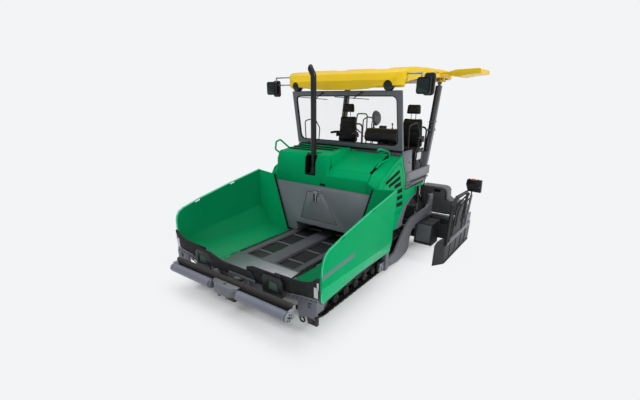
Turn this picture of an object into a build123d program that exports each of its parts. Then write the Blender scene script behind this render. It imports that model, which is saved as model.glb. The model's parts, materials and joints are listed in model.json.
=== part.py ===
"""Asphalt paver on tracks: a hopper with folding wings, a tractor and a sliding screed.

Millimetres. +Z up, -Y towards the hopper, +X to the machine's left side.
The origin is on the ground, in the middle of the machine's length and width.
"""
from build123d import *
import math
import os

os.makedirs("parts", exist_ok=True)

# ---------------------------------------------------------------- driving dimensions
FRONT_Y = -3000.0          # front of the push rollers
REAR_Y = 3000.0            # rear of the screed
GAP = 10.0                 # plain clearance between pieces that move past each other
SHEET = 12.0               # wall of the hopper's plates

# hopper
HINGE_X = 780.0            # wing hinge, along Y
HINGE_Z = 585.0
WING_X = 1635.0            # outer face of a wing
WING_FRONT_Y = -2580.0
WING_REAR_Y = -415.0
WALL_Y = -395.0            # front face of the fixed back wall and of the bonnet
CREASE_Z = 875.0           # the outer wall leans in below this height
CREASE_IN = 1596.0         # its face at z 560
FLOOR_Z = 602.0            # top of a wing's floor at the hinge
FLOOR_RISE = 100.0         # how much higher the floor is at the outer wall
WALL_TOP_Z = 1670.0

ROLLER_Y = FRONT_Y + 75.0
ROLLER_END_X = 1300.0      # outer end of a push roller
BEAM_END_X = 1340.0        # outer face of the push beam

# tracks
TRACK_IN_X = 965.0
TRACK_OUT_X = 1270.0
IDLER_Y = -1985.0
IDLER_R = 235.0
SPROCKET_Y = 880.0
SPROCKET_R = 290.0
BELT = 46.0                # track thickness, shoes included
SHOES = 48                 # shoes of one track
SHOE_GAP = (26.0, 22.0)    # width and depth of the gap between two shoes

# pins and cylinder feet
PIN_R = 15.0
PIN_FIT = 0.05             # running clearance of a pin in its eye
KNUCKLE_YS = (-2200.0, -1400.0, -600.0)
WING_FOOT = (700.0, 200.0)     # x, z of a wing cylinder's foot
WING_EYE = (1400.0, 500.0)     # x, z of its eye on the wing
WING_CYL_Y = -2505.0
LIFT_FOOT = (1400.0, 1505.0)   # y, z of a lift cylinder's foot
LIFT_EYE = (1450.0, 985.0)     # y, z of its eye on the tow arm
LIFT_X = 1335.0
BEAM_PIN_Y = -2640.0       # pin of the push beam
LASHING_R = 30.0

# tractor body
BODY_X = 1275.0            # outer face of the side panels
SIDE_SHEET = 20.0
SILL_Y = 520.0             # foot of the windscreen
SILL_Z = 2330.0
DECK_REAR_Y = 2200.0

# screed
ARM_X = 1300.0             # inner face of a tow arm
ARM_T = 60.0
TOW_Y = 230.0              # tow point
TOW_Z = 160.0
SCREED_Y = 2340.0          # front of the screed
EXT_Y = 2640.0             # front of the sliding extensions
GATE_X = 2150.0            # inner face of an end gate
TUBE_R = 60.0
TUBE_Y = 2500.0
TUBE_Z = 640.0


# ---------------------------------------------------------------- helpers
def block(x0, x1, y0, y1, z0, z1):
    """Box between two corners."""
    size = (x1 - x0, y1 - y0, z1 - z0)
    return Pos((x0 + x1) / 2, (y0 + y1) / 2, (z0 + z1) / 2) * Box(*size)


def slab_x(points, x0, x1):
    """Outline of (y, z) points, extruded from x0 to x1."""
    face = make_face(Polyline([(0, y, z) for y, z in points], close=True))
    return Pos(x0, 0, 0) * extrude(face, amount=x1 - x0, dir=(1, 0, 0))


def slab_y(points, y0, y1):
    """Outline of (x, z) points, extruded from y0 to y1."""
    face = make_face(Polyline([(x, 0, z) for x, z in points], close=True))
    return Pos(0, y0, 0) * extrude(face, amount=y1 - y0, dir=(0, 1, 0))


def slab_z(points, z0, z1):
    """Outline of (x, y) points, extruded from z0 to z1."""
    face = make_face(Polyline([(x, y, 0) for x, y in points], close=True))
    return Pos(0, 0, z0) * extrude(face, amount=z1 - z0, dir=(0, 0, 1))


def rod(start, end, radius):
    """Round bar between two points."""
    along = Vector(*end) - Vector(*start)
    return Plane(origin=start, z_dir=along) * Cylinder(
        radius, along.length, align=(Align.CENTER, Align.CENTER, Align.MIN))


def pipe(points, radius, bend):
    """Round tube bent through the points with one bend radius."""
    path = FilletPolyline(*points, radius=bend)
    start = Plane(origin=path @ 0, z_dir=path % 0)
    return sweep(start * Circle(radius), path=path)


def disc_x(x0, x1, y, z, radius):
    """Disc whose axis is along X."""
    return rod((x0, y, z), (x1, y, z), radius)


def flip(shape):
    """The same piece on the other side of the machine."""
    return mirror(shape, about=Plane.YZ)


def save(node, *pieces):
    """Write the pieces of one node as one STEP file."""
    solids = [s for piece in pieces for s in piece.solids()]
    export_step(Compound(children=solids) if len(solids) > 1 else solids[0],
                f"parts/{node}.step")


def save_pair(stem, piece):
    """Write a left piece and its mirror image."""
    save(f"{stem}_left", piece)
    save(f"{stem}_right", flip(piece))


# ---------------------------------------------------------------- chassis
def main_frame():
    """Two long plates, their cross members, and the beams out to the tracks."""
    side = slab_x([(-2450, 260), (-2450, 560), (1750, 560), (1750, 240), (-2200, 240)], 600, 640)
    members = [side, flip(side)]
    # beams to the track frames: y of the middle
    for y in (-1500, 300):
        members += [block(640, 1010, y - 110, y + 110, 270, 400),
                    block(-1010, -640, y - 110, y + 110, 270, 400)]
    # cross members: y from, y to, z from, z to
    for y0, y1, z0, z1 in ((-2450, -2380, 260, 540), (-1300, -1180, 240, 400),
                           (-60, 60, 240, 400), (1160, 1280, 240, 400), (1700, 1750, 240, 560)):
        cross = block(-600, 600, y0, y1, z0, z1)
        if y0 == -2450:
            # front stem that carries the push beam
            cross += block(-140, 140, -2560, -2450, 300, 540)
            cross += block(-50, 50, BEAM_PIN_Y, -2560, 310, 530)
            cross += Pos(0, BEAM_PIN_Y, 420) * Cylinder(58, 338)
            cross += lashing_lug(500, -2510, y0) + lashing_lug(-500, -2510, y0)
        if y1 == 1750:
            cross += lashing_lug(500, 1810, y1) + lashing_lug(-500, 1810, y1)
        members.append(cross)
    return members


def wing_supports():
    """Shelves with the wings' hinge lugs, and the feet of the wing cylinders, on the side plates."""
    shelf = block(640, 760, -2450, -420, 540, 556)
    for y in KNUCKLE_YS:
        shelf += block(740, HINGE_X, y + 65, y + 125, 540, HINGE_Z)
        shelf += rod((HINGE_X, y - 130, HINGE_Z - 10), (HINGE_X, y + 125, HINGE_Z - 10), PIN_R)
        shelf += block(740, HINGE_X, y - 125, y - 65, 540, HINGE_Z)
    # arm to the front, and the housing of the first hinge with its window
    shelf += block(600, 640, -2685, -2450, 300, 540)
    housing = slab_y([(600, 540), (600, 790), (640, 868), (940, 868), (1000, 800), (1000, 575), (960, 552),
                      (640, 540)], -2685, -2640)
    shelf += housing - slab_y([(720, 640), (740, 780), (900, 780), (920, 640)], -2690, -2670)
    foot = block(640, 720, -2460, -2380, 160, 300) + block(640, 660, -2380, -2300, 260, 300)
    foot += rod((WING_FOOT[0], -2460, WING_FOOT[1]), (WING_FOOT[0], WING_CYL_Y - 25, WING_FOOT[1]), PIN_R)
    return [shelf, flip(shelf), foot, flip(foot)]


def lashing_lug(x, y, root):
    """Flat lug with an upright hole, from the cross member's face to round its hole."""
    front, rear = sorted((root, y))
    lug = block(x - 50, x + 50, front, rear, 330, 370) + Pos(x, y, 350) * Cylinder(50, 40)
    return lug - Pos(x, y, 350) * Cylinder(LASHING_R, 60)


def engine_block():
    """Engine and pump drive as one plain mass."""
    return block(-520, 520, -200, 900, 905, 1560)


def fuel_tank():
    """Tanks for fuel and oil behind the engine, as one plain mass."""
    return block(-1080, 1080, 960, 1480, 870, 1560)


# ---------------------------------------------------------------- tracks
def belt(offset, x0, x1):
    """Solid round idler and sprocket, shrunk by the offset."""
    r0, r1 = IDLER_R - offset, SPROCKET_R - offset
    dy, dz = SPROCKET_Y - IDLER_Y, SPROCKET_R - IDLER_R
    slope = math.atan2(dz, dy)
    lean = math.acos((r0 - r1) / math.hypot(dy, dz))
    touch = []
    for y, z, r, turn in ((IDLER_Y, IDLER_R, r0, 1), (SPROCKET_Y, SPROCKET_R, r1, 1),
                          (SPROCKET_Y, SPROCKET_R, r1, -1), (IDLER_Y, IDLER_R, r0, -1)):
        touch.append((y + r * math.cos(slope + turn * lean), z + r * math.sin(slope + turn * lean)))
    solid = slab_x(touch, x0, x1)
    solid += disc_x(x0, x1, IDLER_Y, IDLER_R, r0)
    solid += disc_x(x0, x1, SPROCKET_Y, SPROCKET_R, r1)
    return solid


def shoe_gaps():
    """The gaps between the shoes, spaced evenly round the loop."""
    dy, dz = SPROCKET_Y - IDLER_Y, SPROCKET_R - IDLER_R
    slope = math.atan2(dz, dy)
    lean = math.acos(-dz / math.hypot(dy, dz))
    run = math.hypot(dy, dz) * math.sin(lean)
    wrap_rear, wrap_front = 2 * lean * SPROCKET_R, (math.tau - 2 * lean) * IDLER_R
    pitch = (2 * run + wrap_rear + wrap_front) / SHOES
    wide, deep = SHOE_GAP
    gaps = []
    for number in range(SHOES):
        along = number * pitch
        # leg of the loop, then the point on it and the angle that faces outward
        if along < run:
            share, angle = along / run, slope - lean
        elif along < run + wrap_rear:
            share, angle = 1.0, slope - lean + (along - run) / SPROCKET_R
        elif along < 2 * run + wrap_rear:
            share, angle = 1.0 - (along - run - wrap_rear) / run, slope + lean
        else:
            share, angle = 0.0, slope + lean + (along - 2 * run - wrap_rear) / IDLER_R
        radius = IDLER_R + dz * share
        y = IDLER_Y + dy * share + radius * math.cos(angle)
        z = radius + radius * math.sin(angle)
        cut = Pos(0, y, z) * Rot(math.degrees(angle) - 90, 0, 0) * Box(TRACK_OUT_X - TRACK_IN_X + 20, wide, 2 * deep)
        gaps.append(Pos((TRACK_IN_X + TRACK_OUT_X) / 2, 0, 0) * cut)
    return gaps


def track():
    """One track loop with its shoes."""
    loop = belt(0, TRACK_IN_X, TRACK_OUT_X) - belt(BELT, TRACK_IN_X - 1, TRACK_OUT_X + 1)
    return loop - shoe_gaps()


def track_frame():
    """Beam, idler, sprocket and rollers inside one track."""
    x0, x1 = TRACK_IN_X + 45, TRACK_OUT_X - 45
    frame = slab_x([(IDLER_Y, 160), (IDLER_Y, 290), (-1500, 400), (300, 420),
                    (SPROCKET_Y, 360), (SPROCKET_Y, 200), (400, 160)], x0 + 30, x1 - 30)
    frame += disc_x(x0, x1, IDLER_Y, IDLER_R, IDLER_R - BELT - 2)
    frame += disc_x(x0, x1, SPROCKET_Y, SPROCKET_R, SPROCKET_R - BELT - 2)
    for i in range(7):
        frame += disc_x(x0 - 10, x1 + 10, -1600 + i * 330, 128, 80)
    return frame


# ---------------------------------------------------------------- hopper floor and conveyors
def conveyor_guards():
    """Fixed sheets beside and between the conveyors, and the front lip."""
    guards = slab_y([(-170, 560), (-150, 625), (150, 625), (170, 560)], -1930, 1480)
    side = slab_y([(570, 560), (575, 612), (700, 612), (735, 602), (735, 560)], -1930, 1480)
    guards += side
    guards += flip(side)
    lip = slab_x([(-2540, 560), (-2535, 575), (-1980, 625), (-1930, 625), (-1930, 560)], -735, 735)
    return guards + lip


BARS = 7                   # cross bars on the top run of a conveyor, and as many below
BAR_Y = -1600.0            # the first of them
BAR_PITCH = 515.0


def slat_conveyors():
    """Two flat chain loops with cross bars."""
    top, low, thick = 575.0, 425.0, 14.0
    front, rear = -1840.0, 1500.0
    loops = []
    for s in (-1, 1):
        x0 = s * 370 - 195
        x1 = s * 370 + 195
        r = (top - low) / 2
        outer = block(x0, x1, front, rear, low, top)
        outer += disc_x(x0, x1, front, low + r, r) + disc_x(x0, x1, rear, low + r, r)
        inner = block(x0, x1, front, rear, low + thick, top - thick)
        inner += disc_x(x0, x1, front, low + r, r - thick) + disc_x(x0, x1, rear, low + r, r - thick)
        loop = outer - inner
        for i in range(BARS):
            y = BAR_Y + i * BAR_PITCH
            loop += block(x0 + 20, x1 - 20, y - 14, y + 14, top, top + 22)
            loop += block(x0 + 20, x1 - 20, y - 14, y + 14, low - 22, low)
        loops.append(loop)
    return loops


def back_wall():
    """Fixed wall between hopper and engine, with the tunnel under it."""
    outline = [(-1235, WALL_TOP_Z - 8), (-1000, 640), (-615, 640), (-615, 820), (615, 820), (615, 640),
               (1000, 640), (1235, WALL_TOP_Z - 8)]
    wall = slab_y(outline, WALL_Y, WALL_Y + 25)
    hatch = [(-310, 1530), (-490, 940), (430, 940), (70, 1530)]
    wall -= slab_y(hatch, WALL_Y - 5, WALL_Y + 30)
    # tunnel roof and sides behind the wall
    wall += block(-640, 640, WALL_Y + 20, 1500, 830, 850)
    wall += block(-640, -615, WALL_Y + 20, 1500, 640, 840)
    wall += block(615, 640, WALL_Y + 20, 1500, 640, 840)
    return wall


def wall_hatch():
    """Hatch that lifts out of the back wall, with its latch."""
    plate = slab_y([(-307, 1527), (-485, 943), (425, 943), (67, 1527)], WALL_Y + 2, WALL_Y + 20)
    plate += block(-110, -40, WALL_Y, WALL_Y + 2, 1400, 1500)
    return plate + block(-150, 0, WALL_Y - 14, WALL_Y, 1340, 1580)


# ---------------------------------------------------------------- wings
def floor_z(x):
    """Top of a wing's floor at a distance x from the middle."""
    return FLOOR_Z + FLOOR_RISE * (x - 800) / (1600 - 800)


def wing():
    """Left wing: floor, outer wall, rear panel and the sloping band between them."""
    wall_in = WING_X - SHEET
    # outer wall: upright above the crease, leaning in below it, then cut to its outline in (y, z)
    piece = slab_y([(CREASE_IN, 560), (WING_X, CREASE_Z), (WING_X, 1850), (wall_in, 1850),
                    (wall_in, CREASE_Z), (CREASE_IN - SHEET, 560)], WING_FRONT_Y, WING_REAR_Y)
    outline = [(-2500, 600), (-2555, 660), (-2578, 760), (-2580, 1100), (-2572, 1210), (-2545, 1300),
               (-2490, 1375), (-2400, 1420), (-2000, 1525), (-1370, 1660), (WING_REAR_Y, 1838),
               (WING_REAR_Y, 800), (-450, 790), (-950, 722), (-1590, 690)]
    piece &= slab_x(outline, 1500, 1700)
    # hand slots near the top edge: y and z of the middle
    for y, z in ((-2070, 1475), (-1200, 1660)):
        slot = Pos(1629, y, z) * Rot(12, 0, 0) * Box(60, 110, 28)
        piece -= slot
    # floor, (x, z); its outer edge is sunk in the wall
    out = 1609
    floor = [(800, floor_z(800)), (out, floor_z(out)), (out, floor_z(out) - SHEET),
             (800, floor_z(800) - SHEET)]
    piece += slab_y(floor, -2480, WING_REAR_Y)
    # rear panel, (x, z)
    panel = [(860, floor_z(860) - 4), (1205, 1780), (wall_in + 4, 1825), (wall_in + 4, CREASE_Z),
             (out, floor_z(out) - 4)]
    piece += slab_y(panel, WING_REAR_Y - SHEET, WING_REAR_Y)
    # sloping band from the floor up the outer wall, widest at the rear; its foot is sunk in the plates
    sections = []
    # y, height up the outer wall, x where it meets the floor
    for y, top, foot in ((WING_REAR_Y - SHEET / 2, 1035, 1330), (-2400, CREASE_Z + 4, out - 20)):
        corners = [(out, floor_z(out) - SHEET / 2), (wall_in + 5, CREASE_Z), (wall_in + 5, top),
                   (foot, floor_z(foot) - SHEET / 2)]
        sections.append(make_face(Polyline([(x, y, z) for x, z in corners], close=True)))
    piece += loft(sections, ruled=True)
    # hinge knuckles under the floor
    for y in KNUCKLE_YS:
        knuckle = rod((HINGE_X, y - 60, HINGE_Z - 10), (HINGE_X, y + 60, HINGE_Z - 10), 24)
        knuckle += block(HINGE_X, 830, y - 60, y + 60, HINGE_Z - 10, 597)
        knuckle -= rod((HINGE_X, y - 61, HINGE_Z - 10), (HINGE_X, y + 61, HINGE_Z - 10),
                       PIN_R + PIN_FIT)
        piece += knuckle
    # bracket beside the wing cylinder's eye
    x, z = WING_EYE
    piece += slab_y([(x - 35, z - 30), (x - 35, floor_z(x - 35) - 5), (x + 35, floor_z(x + 35) - 5),
                     (x + 35, z - 30)], -2465, -2440)
    return piece


def wing_apron():
    """Rubber at the front of the left wing."""
    return slab_y([(800, 640), (800, 900), (1180, 905), (1320, 915), (1480, 960), (1560, 1040),
                   (1612, 1050), (1612, 740), (1300, 690)], -2620, -2590)


def centre_apron():
    """Rubber between the wings, in two overlapping halves."""
    right = slab_y([(-950, 875), (-950, 905), (-580, 900), (-290, 815), (380, 815), (470, 640), (-594, 640),
                    (-594, 780), (-634, 875)], -2690, -2665)
    left = slab_y([(250, 640), (250, 860), (380, 905), (950, 905), (950, 875), (634, 875), (594, 780),
                   (594, 640)], -2660, -2635)
    return [right, left]


def wing_foot_plate():
    """Grey plates at the front foot of the left wing: a strip under the rubber and a corner bracket."""
    strip = slab_y([(1030, 560), (1040, 650), (1290, 700), (1600, 735), (1600, 660), (1290, 610)],
                   -2630, -2620.3)
    corner = slab_y([(1270, 330), (1262, 640), (1600, 680), (1600, 470), (1560, 440), (1520, 300),
                     (1440, 300), (1420, 400)], -2645, -2620.3)
    corner -= slab_y([(1440, 560), (1440, 640), (1500, 650), (1500, 560)], -2650, -2610)
    web = block(1522, 1580, -2620.3, -2440, 480, 679)
    hook = block(1440, 1600, -2645, -2590, 300, 440) - block(1470, 1560, -2650, -2585, 340, 400)
    return strip + corner + web + hook


# ---------------------------------------------------------------- push rollers
def push_beam():
    """Beam that swings about a pin in the middle and carries the rollers."""
    # rounded back, then its lower plate
    beam = slab_x([(-2780, 560), (-2780, 630), (-2795, 655), (-2825, 655), (-2845, 625), (-2845, 560)],
                  -BEAM_END_X, BEAM_END_X)
    beam += block(-BEAM_END_X, BEAM_END_X, -2840, -2820, 440, 560)
    hub = block(-110, 110, -2840, -2580, 548, 590)
    hub += block(-110, 110, -2840, -2580, 250, 292)
    hub += block(-110, 110, -2840, -2720, 292, 548)
    hub -= Pos(0, BEAM_PIN_Y, 420) * Cylinder(58 + PIN_FIT, 1000)
    beam += hub
    # nose between the rollers, narrower towards the front, with a tow hook under it
    beam += slab_z([(-290, -2840), (-290, -2900), (-200, -2960), (-150, -2985), (150, -2985), (200, -2960),
                    (290, -2900), (290, -2840)], 430, 585)
    hook = block(-110, 110, -2980, -2900, 370, 430) - block(-70, 70, -2990, -2930, 360, 410)
    beam += hook
    for s in (-1, 1):
        # collar and shaft of a roller, then its end plate with a round face
        beam += disc_x(*sorted((s * 285, s * 310)), ROLLER_Y, 500, 70)
        beam += disc_x(*sorted((s * 300, s * (BEAM_END_X - 10))), ROLLER_Y, 500, 20)
        beam += disc_x(*sorted((s * (ROLLER_END_X + 12), s * BEAM_END_X)), ROLLER_Y, 500, 74)
        x0, x1 = sorted((s * (ROLLER_END_X + 12), s * BEAM_END_X))
        beam += block(x0, x1, -2925, -2820, 440, 600)
    return beam


def push_roller():
    """Left push roller on its shaft."""
    tube = disc_x(320, ROLLER_END_X, ROLLER_Y, 500, 75)
    return tube - disc_x(310, ROLLER_END_X + 10, ROLLER_Y, 500, 20 + PIN_FIT)


# ---------------------------------------------------------------- bonnet and sides
HOOD_X = 1110.0            # right edge of the raised half
HOOD_STEP_X = 150.0        # where the raised half ends
HOOD_LOW_X = 1000.0        # left edge of the lower half
LID_FRONT_Y = -255.0
LID_REAR_Y = 462.0
LID_HINGE = (476.0, 2290.0)    # y, z
HINGE_PIN_R = 5.0
EXHAUST = (-255.0, -250.0)     # x, y
EXHAUST_R = 55.0


def hood_slot():
    """The well that the exhaust stands in."""
    return block(-390, -120, WALL_Y - 10, -125, 1850, 2400)


def bonnet_front():
    """Fixed front of the bonnet, over the back wall."""
    rear = LID_FRONT_Y - 7
    low = [(WALL_Y, 1665), (-372, 1890), (rear, 2018), (rear, 1990), (-350, 1885), (WALL_Y + 25, 1665)]
    tall = [(WALL_Y, 1665), (-375, 2110), (-300, 2248), (rear, 2256), (rear, 2230), (-285, 2224),
            (-350, 2104), (WALL_Y + 25, 1665)]
    front = slab_x(tall, -HOOD_X, HOOD_STEP_X)
    front += slab_x(low, HOOD_STEP_X, HOOD_LOW_X + 50)
    # end plates of the raised half; their rear edge clears the lid as it swings
    end = [(-372, 1880), (-373, 2100), (-299, 2240), (rear, 2248), (-254, 2200), (-238, 2110),
           (-221, 2052), (rear, 2032), (-350, 1885)]
    front += slab_x(end, HOOD_STEP_X - 20, HOOD_STEP_X)
    front += slab_x(end, -HOOD_X, -HOOD_X + 20)
    return front - hood_slot()


def bonnet_lid():
    """Top of the bonnet, hinged at the windscreen."""
    y0, y1 = LID_FRONT_Y, LID_REAR_Y
    low = [(y0, 2026), (y1, 2275), (y1, 2250), (y0 + 12, 2005)]
    tall = [(y0, 2258), (y1, 2330), (y1, 2305), (y0, 2233)]
    lid = slab_x(low, HOOD_STEP_X - 20, HOOD_LOW_X)
    lid -= block(HOOD_STEP_X - 30, HOOD_STEP_X + 8, y0 - 10, -192, 1990, 2100)
    lid += slab_x(tall, -HOOD_X, HOOD_STEP_X)
    # cheeks of the raised half
    for x0, x1 in ((-HOOD_X, -HOOD_X + 20), (HOOD_STEP_X - 20, HOOD_STEP_X)):
        lid += slab_x([(y0 + 1, 2240), (y1, 2320), (y1, 2255), (-185, 2030), (-203, 2045), (-229, 2110),
                       (-247, 2200)], x0, x1)
    # hinge eyes, (x from, x to)
    y, z = LID_HINGE
    for x0, x1 in ((-900, -840), (-140, -80), (190, 250), (840, 900)):
        # up to the raised half, down to the lower one
        low, high = (z - 42, z - 5) if x0 > 0 else (z, z + 24)
        eye = disc_x(x0, x1, y, z, 12) + block(x0, x1, y1 - 20, y - 6, low, high)
        eye = eye - disc_x(x0 - 1, x1 + 1, y, z, HINGE_PIN_R + PIN_FIT)
        lid += eye
    return lid - hood_slot()


SIDE_OUTLINE = [(WALL_Y, 780), (WALL_Y, 1780), (-310, 1900), (80, 2090), (500, 2250), (520, 2290),
                (645, 2030), (770, 1850), (797, 1540), (1830, 1540), (1830, 1490), (1570, 1400),
                (1300, 1350), (1050, 1282), (920, 1228), (800, 1130), (690, 1000), (600, 870),
                (560, 780)]
DOOR_HOLE = [(-180, 1100), (-180, 1850), (60, 1985), (430, 2140), (555, 2050), (650, 1850),
             (750, 1560), (780, 1190), (700, 1100)]
DOOR_GAP = 8.0
DOOR_HINGE = (1283.0, -176.0)      # x, y
# door hinges: z from, z to of the eye on the door
DOOR_EYES = ((1250, 1300), (1650, 1700))


def body_side(inner):
    """Fixed left side panel, with the shoulder that rises to the bonnet at x = inner."""
    side = slab_x(SIDE_OUTLINE, BODY_X - SIDE_SHEET, BODY_X)
    side -= slab_x(DOOR_HOLE, BODY_X - SIDE_SHEET - 5, BODY_X + 5)
    # shoulder between the side and the bonnet
    sections = []
    # y, height at the bonnet, height at the side
    for y, high, low in ((WALL_Y + 5, 1860, 1770), (-262, 2000, 1915), (480, 2255, 2238)):
        corners = [(inner, high), (BODY_X - 10, low), (BODY_X - 10, low - 22), (inner, high - 22)]
        sections.append(make_face(Polyline([(x, y, z) for x, z in corners], close=True)))
    shoulder = loft(sections, ruled=True)
    shoulder += slab_y([(inner, 1670), (inner, 1850), (BODY_X - 10, 1762), (BODY_X - 10, 1670)],
                       WALL_Y, WALL_Y + 20)
    side += shoulder
    # door hinges: a pin through each eye, held by a leaf above and below it
    x, y = DOOR_HINGE
    for z0, z1 in DOOR_EYES:
        side += Pos(x, y, (z0 + z1) / 2) * Cylinder(HINGE_PIN_R - 1, z1 - z0 + 60)
        for z in (z0 - 36, z1 + 6):
            side += Pos(x, y, z + 15) * Cylinder(7, 30)
            side += block(BODY_X - 2, x, y - 60, y, z, z + 30)
    return side


def body_sides():
    """Side panels, from the hopper to the rear fender."""
    return [body_side(HOOD_LOW_X + 58), flip(body_side(HOOD_X + 8))]


# vents of a door, corners as (y, z): lower front, lower rear, upper rear, upper front
VENTS = (((-80, 1815), (470, 1945), (445, 1995), (-100, 1862)),
         ((60, 1740), (535, 1815), (510, 1868), (40, 1788)),
         ((320, 1670), (590, 1695), (565, 1748), (295, 1720)),
         ((480, 1540), (680, 1550), (660, 1605), (462, 1598)),
         ((480, 1405), (715, 1412), (697, 1466), (462, 1462)),
         ((480, 1268), (735, 1262), (717, 1320), (462, 1328)))
LOUVRES = 2                # blades across a vent
BLADE = 0.14               # half the width of a blade, as a share of the vent's height


def louvre(vent, share):
    """Blade along a vent, at a share of its height."""
    front_low, rear_low, rear_high, front_high = vent

    def edge(at):
        pairs = ((front_low, front_high), (rear_low, rear_high))
        return [tuple(a + (b - a) * at for a, b in zip(low, high)) for low, high in pairs]

    (y0, z0), (y1, z1) = edge(share - BLADE)
    (y2, z2), (y3, z3) = edge(share + BLADE)
    # its ends reach 4 mm into the door
    return slab_x([(y0 - 4, z0), (y1 + 4, z1), (y3 + 4, z3), (y2 - 4, z2)], BODY_X - 18, BODY_X - 4)


def side_door():
    """Left service door with its vents."""
    outline = offset(make_face(Polyline([(0, y, z) for y, z in DOOR_HOLE], close=True)),
                     amount=-DOOR_GAP, kind=Kind.INTERSECTION)
    door = Pos(BODY_X - SIDE_SHEET, 0, 0) * extrude(outline, amount=SIDE_SHEET, dir=(1, 0, 0))
    for vent in VENTS:
        door -= slab_x(vent, BODY_X - 30, BODY_X + 5)
        for number in range(1, LOUVRES + 1):
            door += louvre(vent, number / (LOUVRES + 1))
    x, y = DOOR_HINGE
    for z0, z1 in DOOR_EYES:
        door += Pos(x, y, (z0 + z1) / 2) * Cylinder(7, z1 - z0)
        door += block(BODY_X - 2, x, y, y + 70, z0, z1)
        door -= Pos(x, y, (z0 + z1) / 2) * Cylinder(HINGE_PIN_R - 1 + PIN_FIT, z1 - z0 + 2)
    return door


def fenders():
    """Grey sheets that close the sides behind the tracks."""
    outline = [(575, 760), (612, 865), (700, 992), (812, 1120), (928, 1216), (1055, 1270),
               (1300, 1338), (1540, 1382), (1560, 1340), (1290, 1290), (1060, 1180), (950, 1060),
               (880, 900), (850, 760)]
    sheet = slab_x(outline, BODY_X - 30, BODY_X - 5)
    inner = block(1120, BODY_X - 30, 1000, 1560, 1400, 1420) + block(1120, BODY_X - 30, 1000, 1020, 1150, 1420)
    sheet += slab_x([(1000, 1140), (1000, 1420), (1540, 1420), (1540, 1375), (1290, 1330), (1060, 1260)],
                    BODY_X - 42, BODY_X - 30)
    sheet += inner
    return [sheet, flip(sheet)]


def exhaust():
    """Exhaust pipe with its bent, slanted mouth."""
    x, y = EXHAUST
    stack = pipe([(x, y, 1565), (x, y, 3640), (x - 105, y + 20, 3790)], EXHAUST_R, 90)
    mouth = Plane(origin=(x - 92, y + 18, 3768), z_dir=(-0.9, 0.1, 0.35))
    return stack - mouth * Cylinder(200, 200, align=(Align.CENTER, Align.CENTER, Align.MIN))


# ---------------------------------------------------------------- operator's stand
def platform():
    """Floor, side boxes, steps and the wall under the windscreen."""
    deck = block(-1240, 1240, 620, DECK_REAR_Y, 1600, 1640)
    deck += block(-1240, 1240, 560, 620, 1600, 2300)
    for s in (-1, 1):
        for x0, x1, y0, y1, z0, z1 in ((1000, 1275, 1060, 2130, 1690, 1880),
                                       (1000, 1240, 1060, 2090, 1630, 1690),
                                       (1150, 1262, 880, 2040, 1570, 1630),
                                       (1150, 1240, 880, 1900, 1545, 1570)):
            deck += block(x0, x1, y0, y1, z0, z1) if s > 0 else block(-x1, -x0, y0, y1, z0, z1)
        # locker with the hose connections, behind the seat
        x0, x1 = sorted((s * 1020, s * 1235))
        deck += block(x0, x1, 1700, 2015, 1880, 2190)
        x0, x1 = sorted((s * 1090, s * 1235))
        deck += block(x0, x1, 1290, 1640, 1880, 2010)
        cheek = slab_x([(530, 2330), (663, 2040), (788, 1860), (812, 1560), (1075, 1560), (1075, 1880),
                        (985, 2330)], 1250, 1275)
        cheek += slab_x([(600, 1610), (600, 1640), (812, 1640), (812, 1610)], 1235, 1255)
        deck += cheek if s > 0 else flip(cheek)
    # hinge lugs of the bonnet lid, beside its eyes: x of the lug's middle
    y, z = LID_HINGE
    for x in (-920, -820, -160, -60, 170, 270, 820, 920):
        deck += block(x - 8, x + 8, y, 565, z - 12, z + 12) + disc_x(x - 8, x + 8, y, z, 12)
    for x0, x1 in ((-920, -820), (-160, -60), (170, 270), (820, 920)):
        deck += disc_x(x0, x1, y, z, HINGE_PIN_R)
    return deck


SEAT_APART = 1600.0


def seat(x, feet):
    """A seat with its backrest and headrest; feet: (x from, x to, z of the floor) of its pedestal."""
    piece = block(x - 90, x + 90, 1250, 1500, 2150, 2200)
    for x0, x1, z in feet:
        piece += block(x0, x1, 1250, 1500, z, 2160)
    piece += block(x - 240, x + 240, 1120, 1620, 2200, 2330)
    piece += block(x - 230, x + 230, 1540, 1660, 2330, 2870)
    piece += block(x - 40, x + 40, 1580, 1610, 2870, 2960)
    piece += block(x - 150, x + 150, 1540, 1650, 2930, 3130)
    return piece


def seats():
    """Two seats, one each side."""
    left = seat(980.0, ((890, 1000, 1640), (1000, 1070, 1880)))
    right = seat(980.0 - SEAT_APART, ((-710, -530, 1640),))
    return [left, right]


def console():
    """Operator's console across the stand."""
    desk = block(530, 670, 900, 1040, 1640, 2440)
    desk += slab_x([(860, 2480), (860, 2600), (930, 2690), (1080, 2690), (1080, 2430), (940, 2430)], 240, 960)
    return desk


def handrails():
    """Tubes round the stand."""
    rails = []
    for s in (-1, 1):
        rails.append(pipe([(s * 1090, 2160, 1640), (s * 1090, 2160, 2680), (s * 560, 2160, 2680),
                           (s * 560, 2160, 1640)], 19, 90))
        # side loops: front leg on the cheek, rear leg on the side box
        rails.append(pipe([(s * 1262.5, 790, 2330), (s * 1262.5, 790, 2400), (s * 1262.5, 760, 2790), (s * 1262.5, 1130, 2830),
                           (s * 1262.5, 1330, 2600), (s * 1262.5, 1250, 1960),
                           (s * 1262.5, 1250, 1880)], 12, 60))
    return rails


# ---------------------------------------------------------------- canopy
SCREEN_TOP = (340.0, 3390.0)
POST_X = 1167.0
ROOF_X = 1300.0            # half width of the roof
ROOF_PLAN = [(-ROOF_X, 380), (-1270, 270), (-1180, 190), (-1020, 150), (1020, 150), (1180, 190),
             (1270, 270), (ROOF_X, 380), (ROOF_X, 2770), (-ROOF_X, 2770)]
SIDE_ROOF_HINGE = (1335.0, 3742.0)     # x, z
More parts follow.
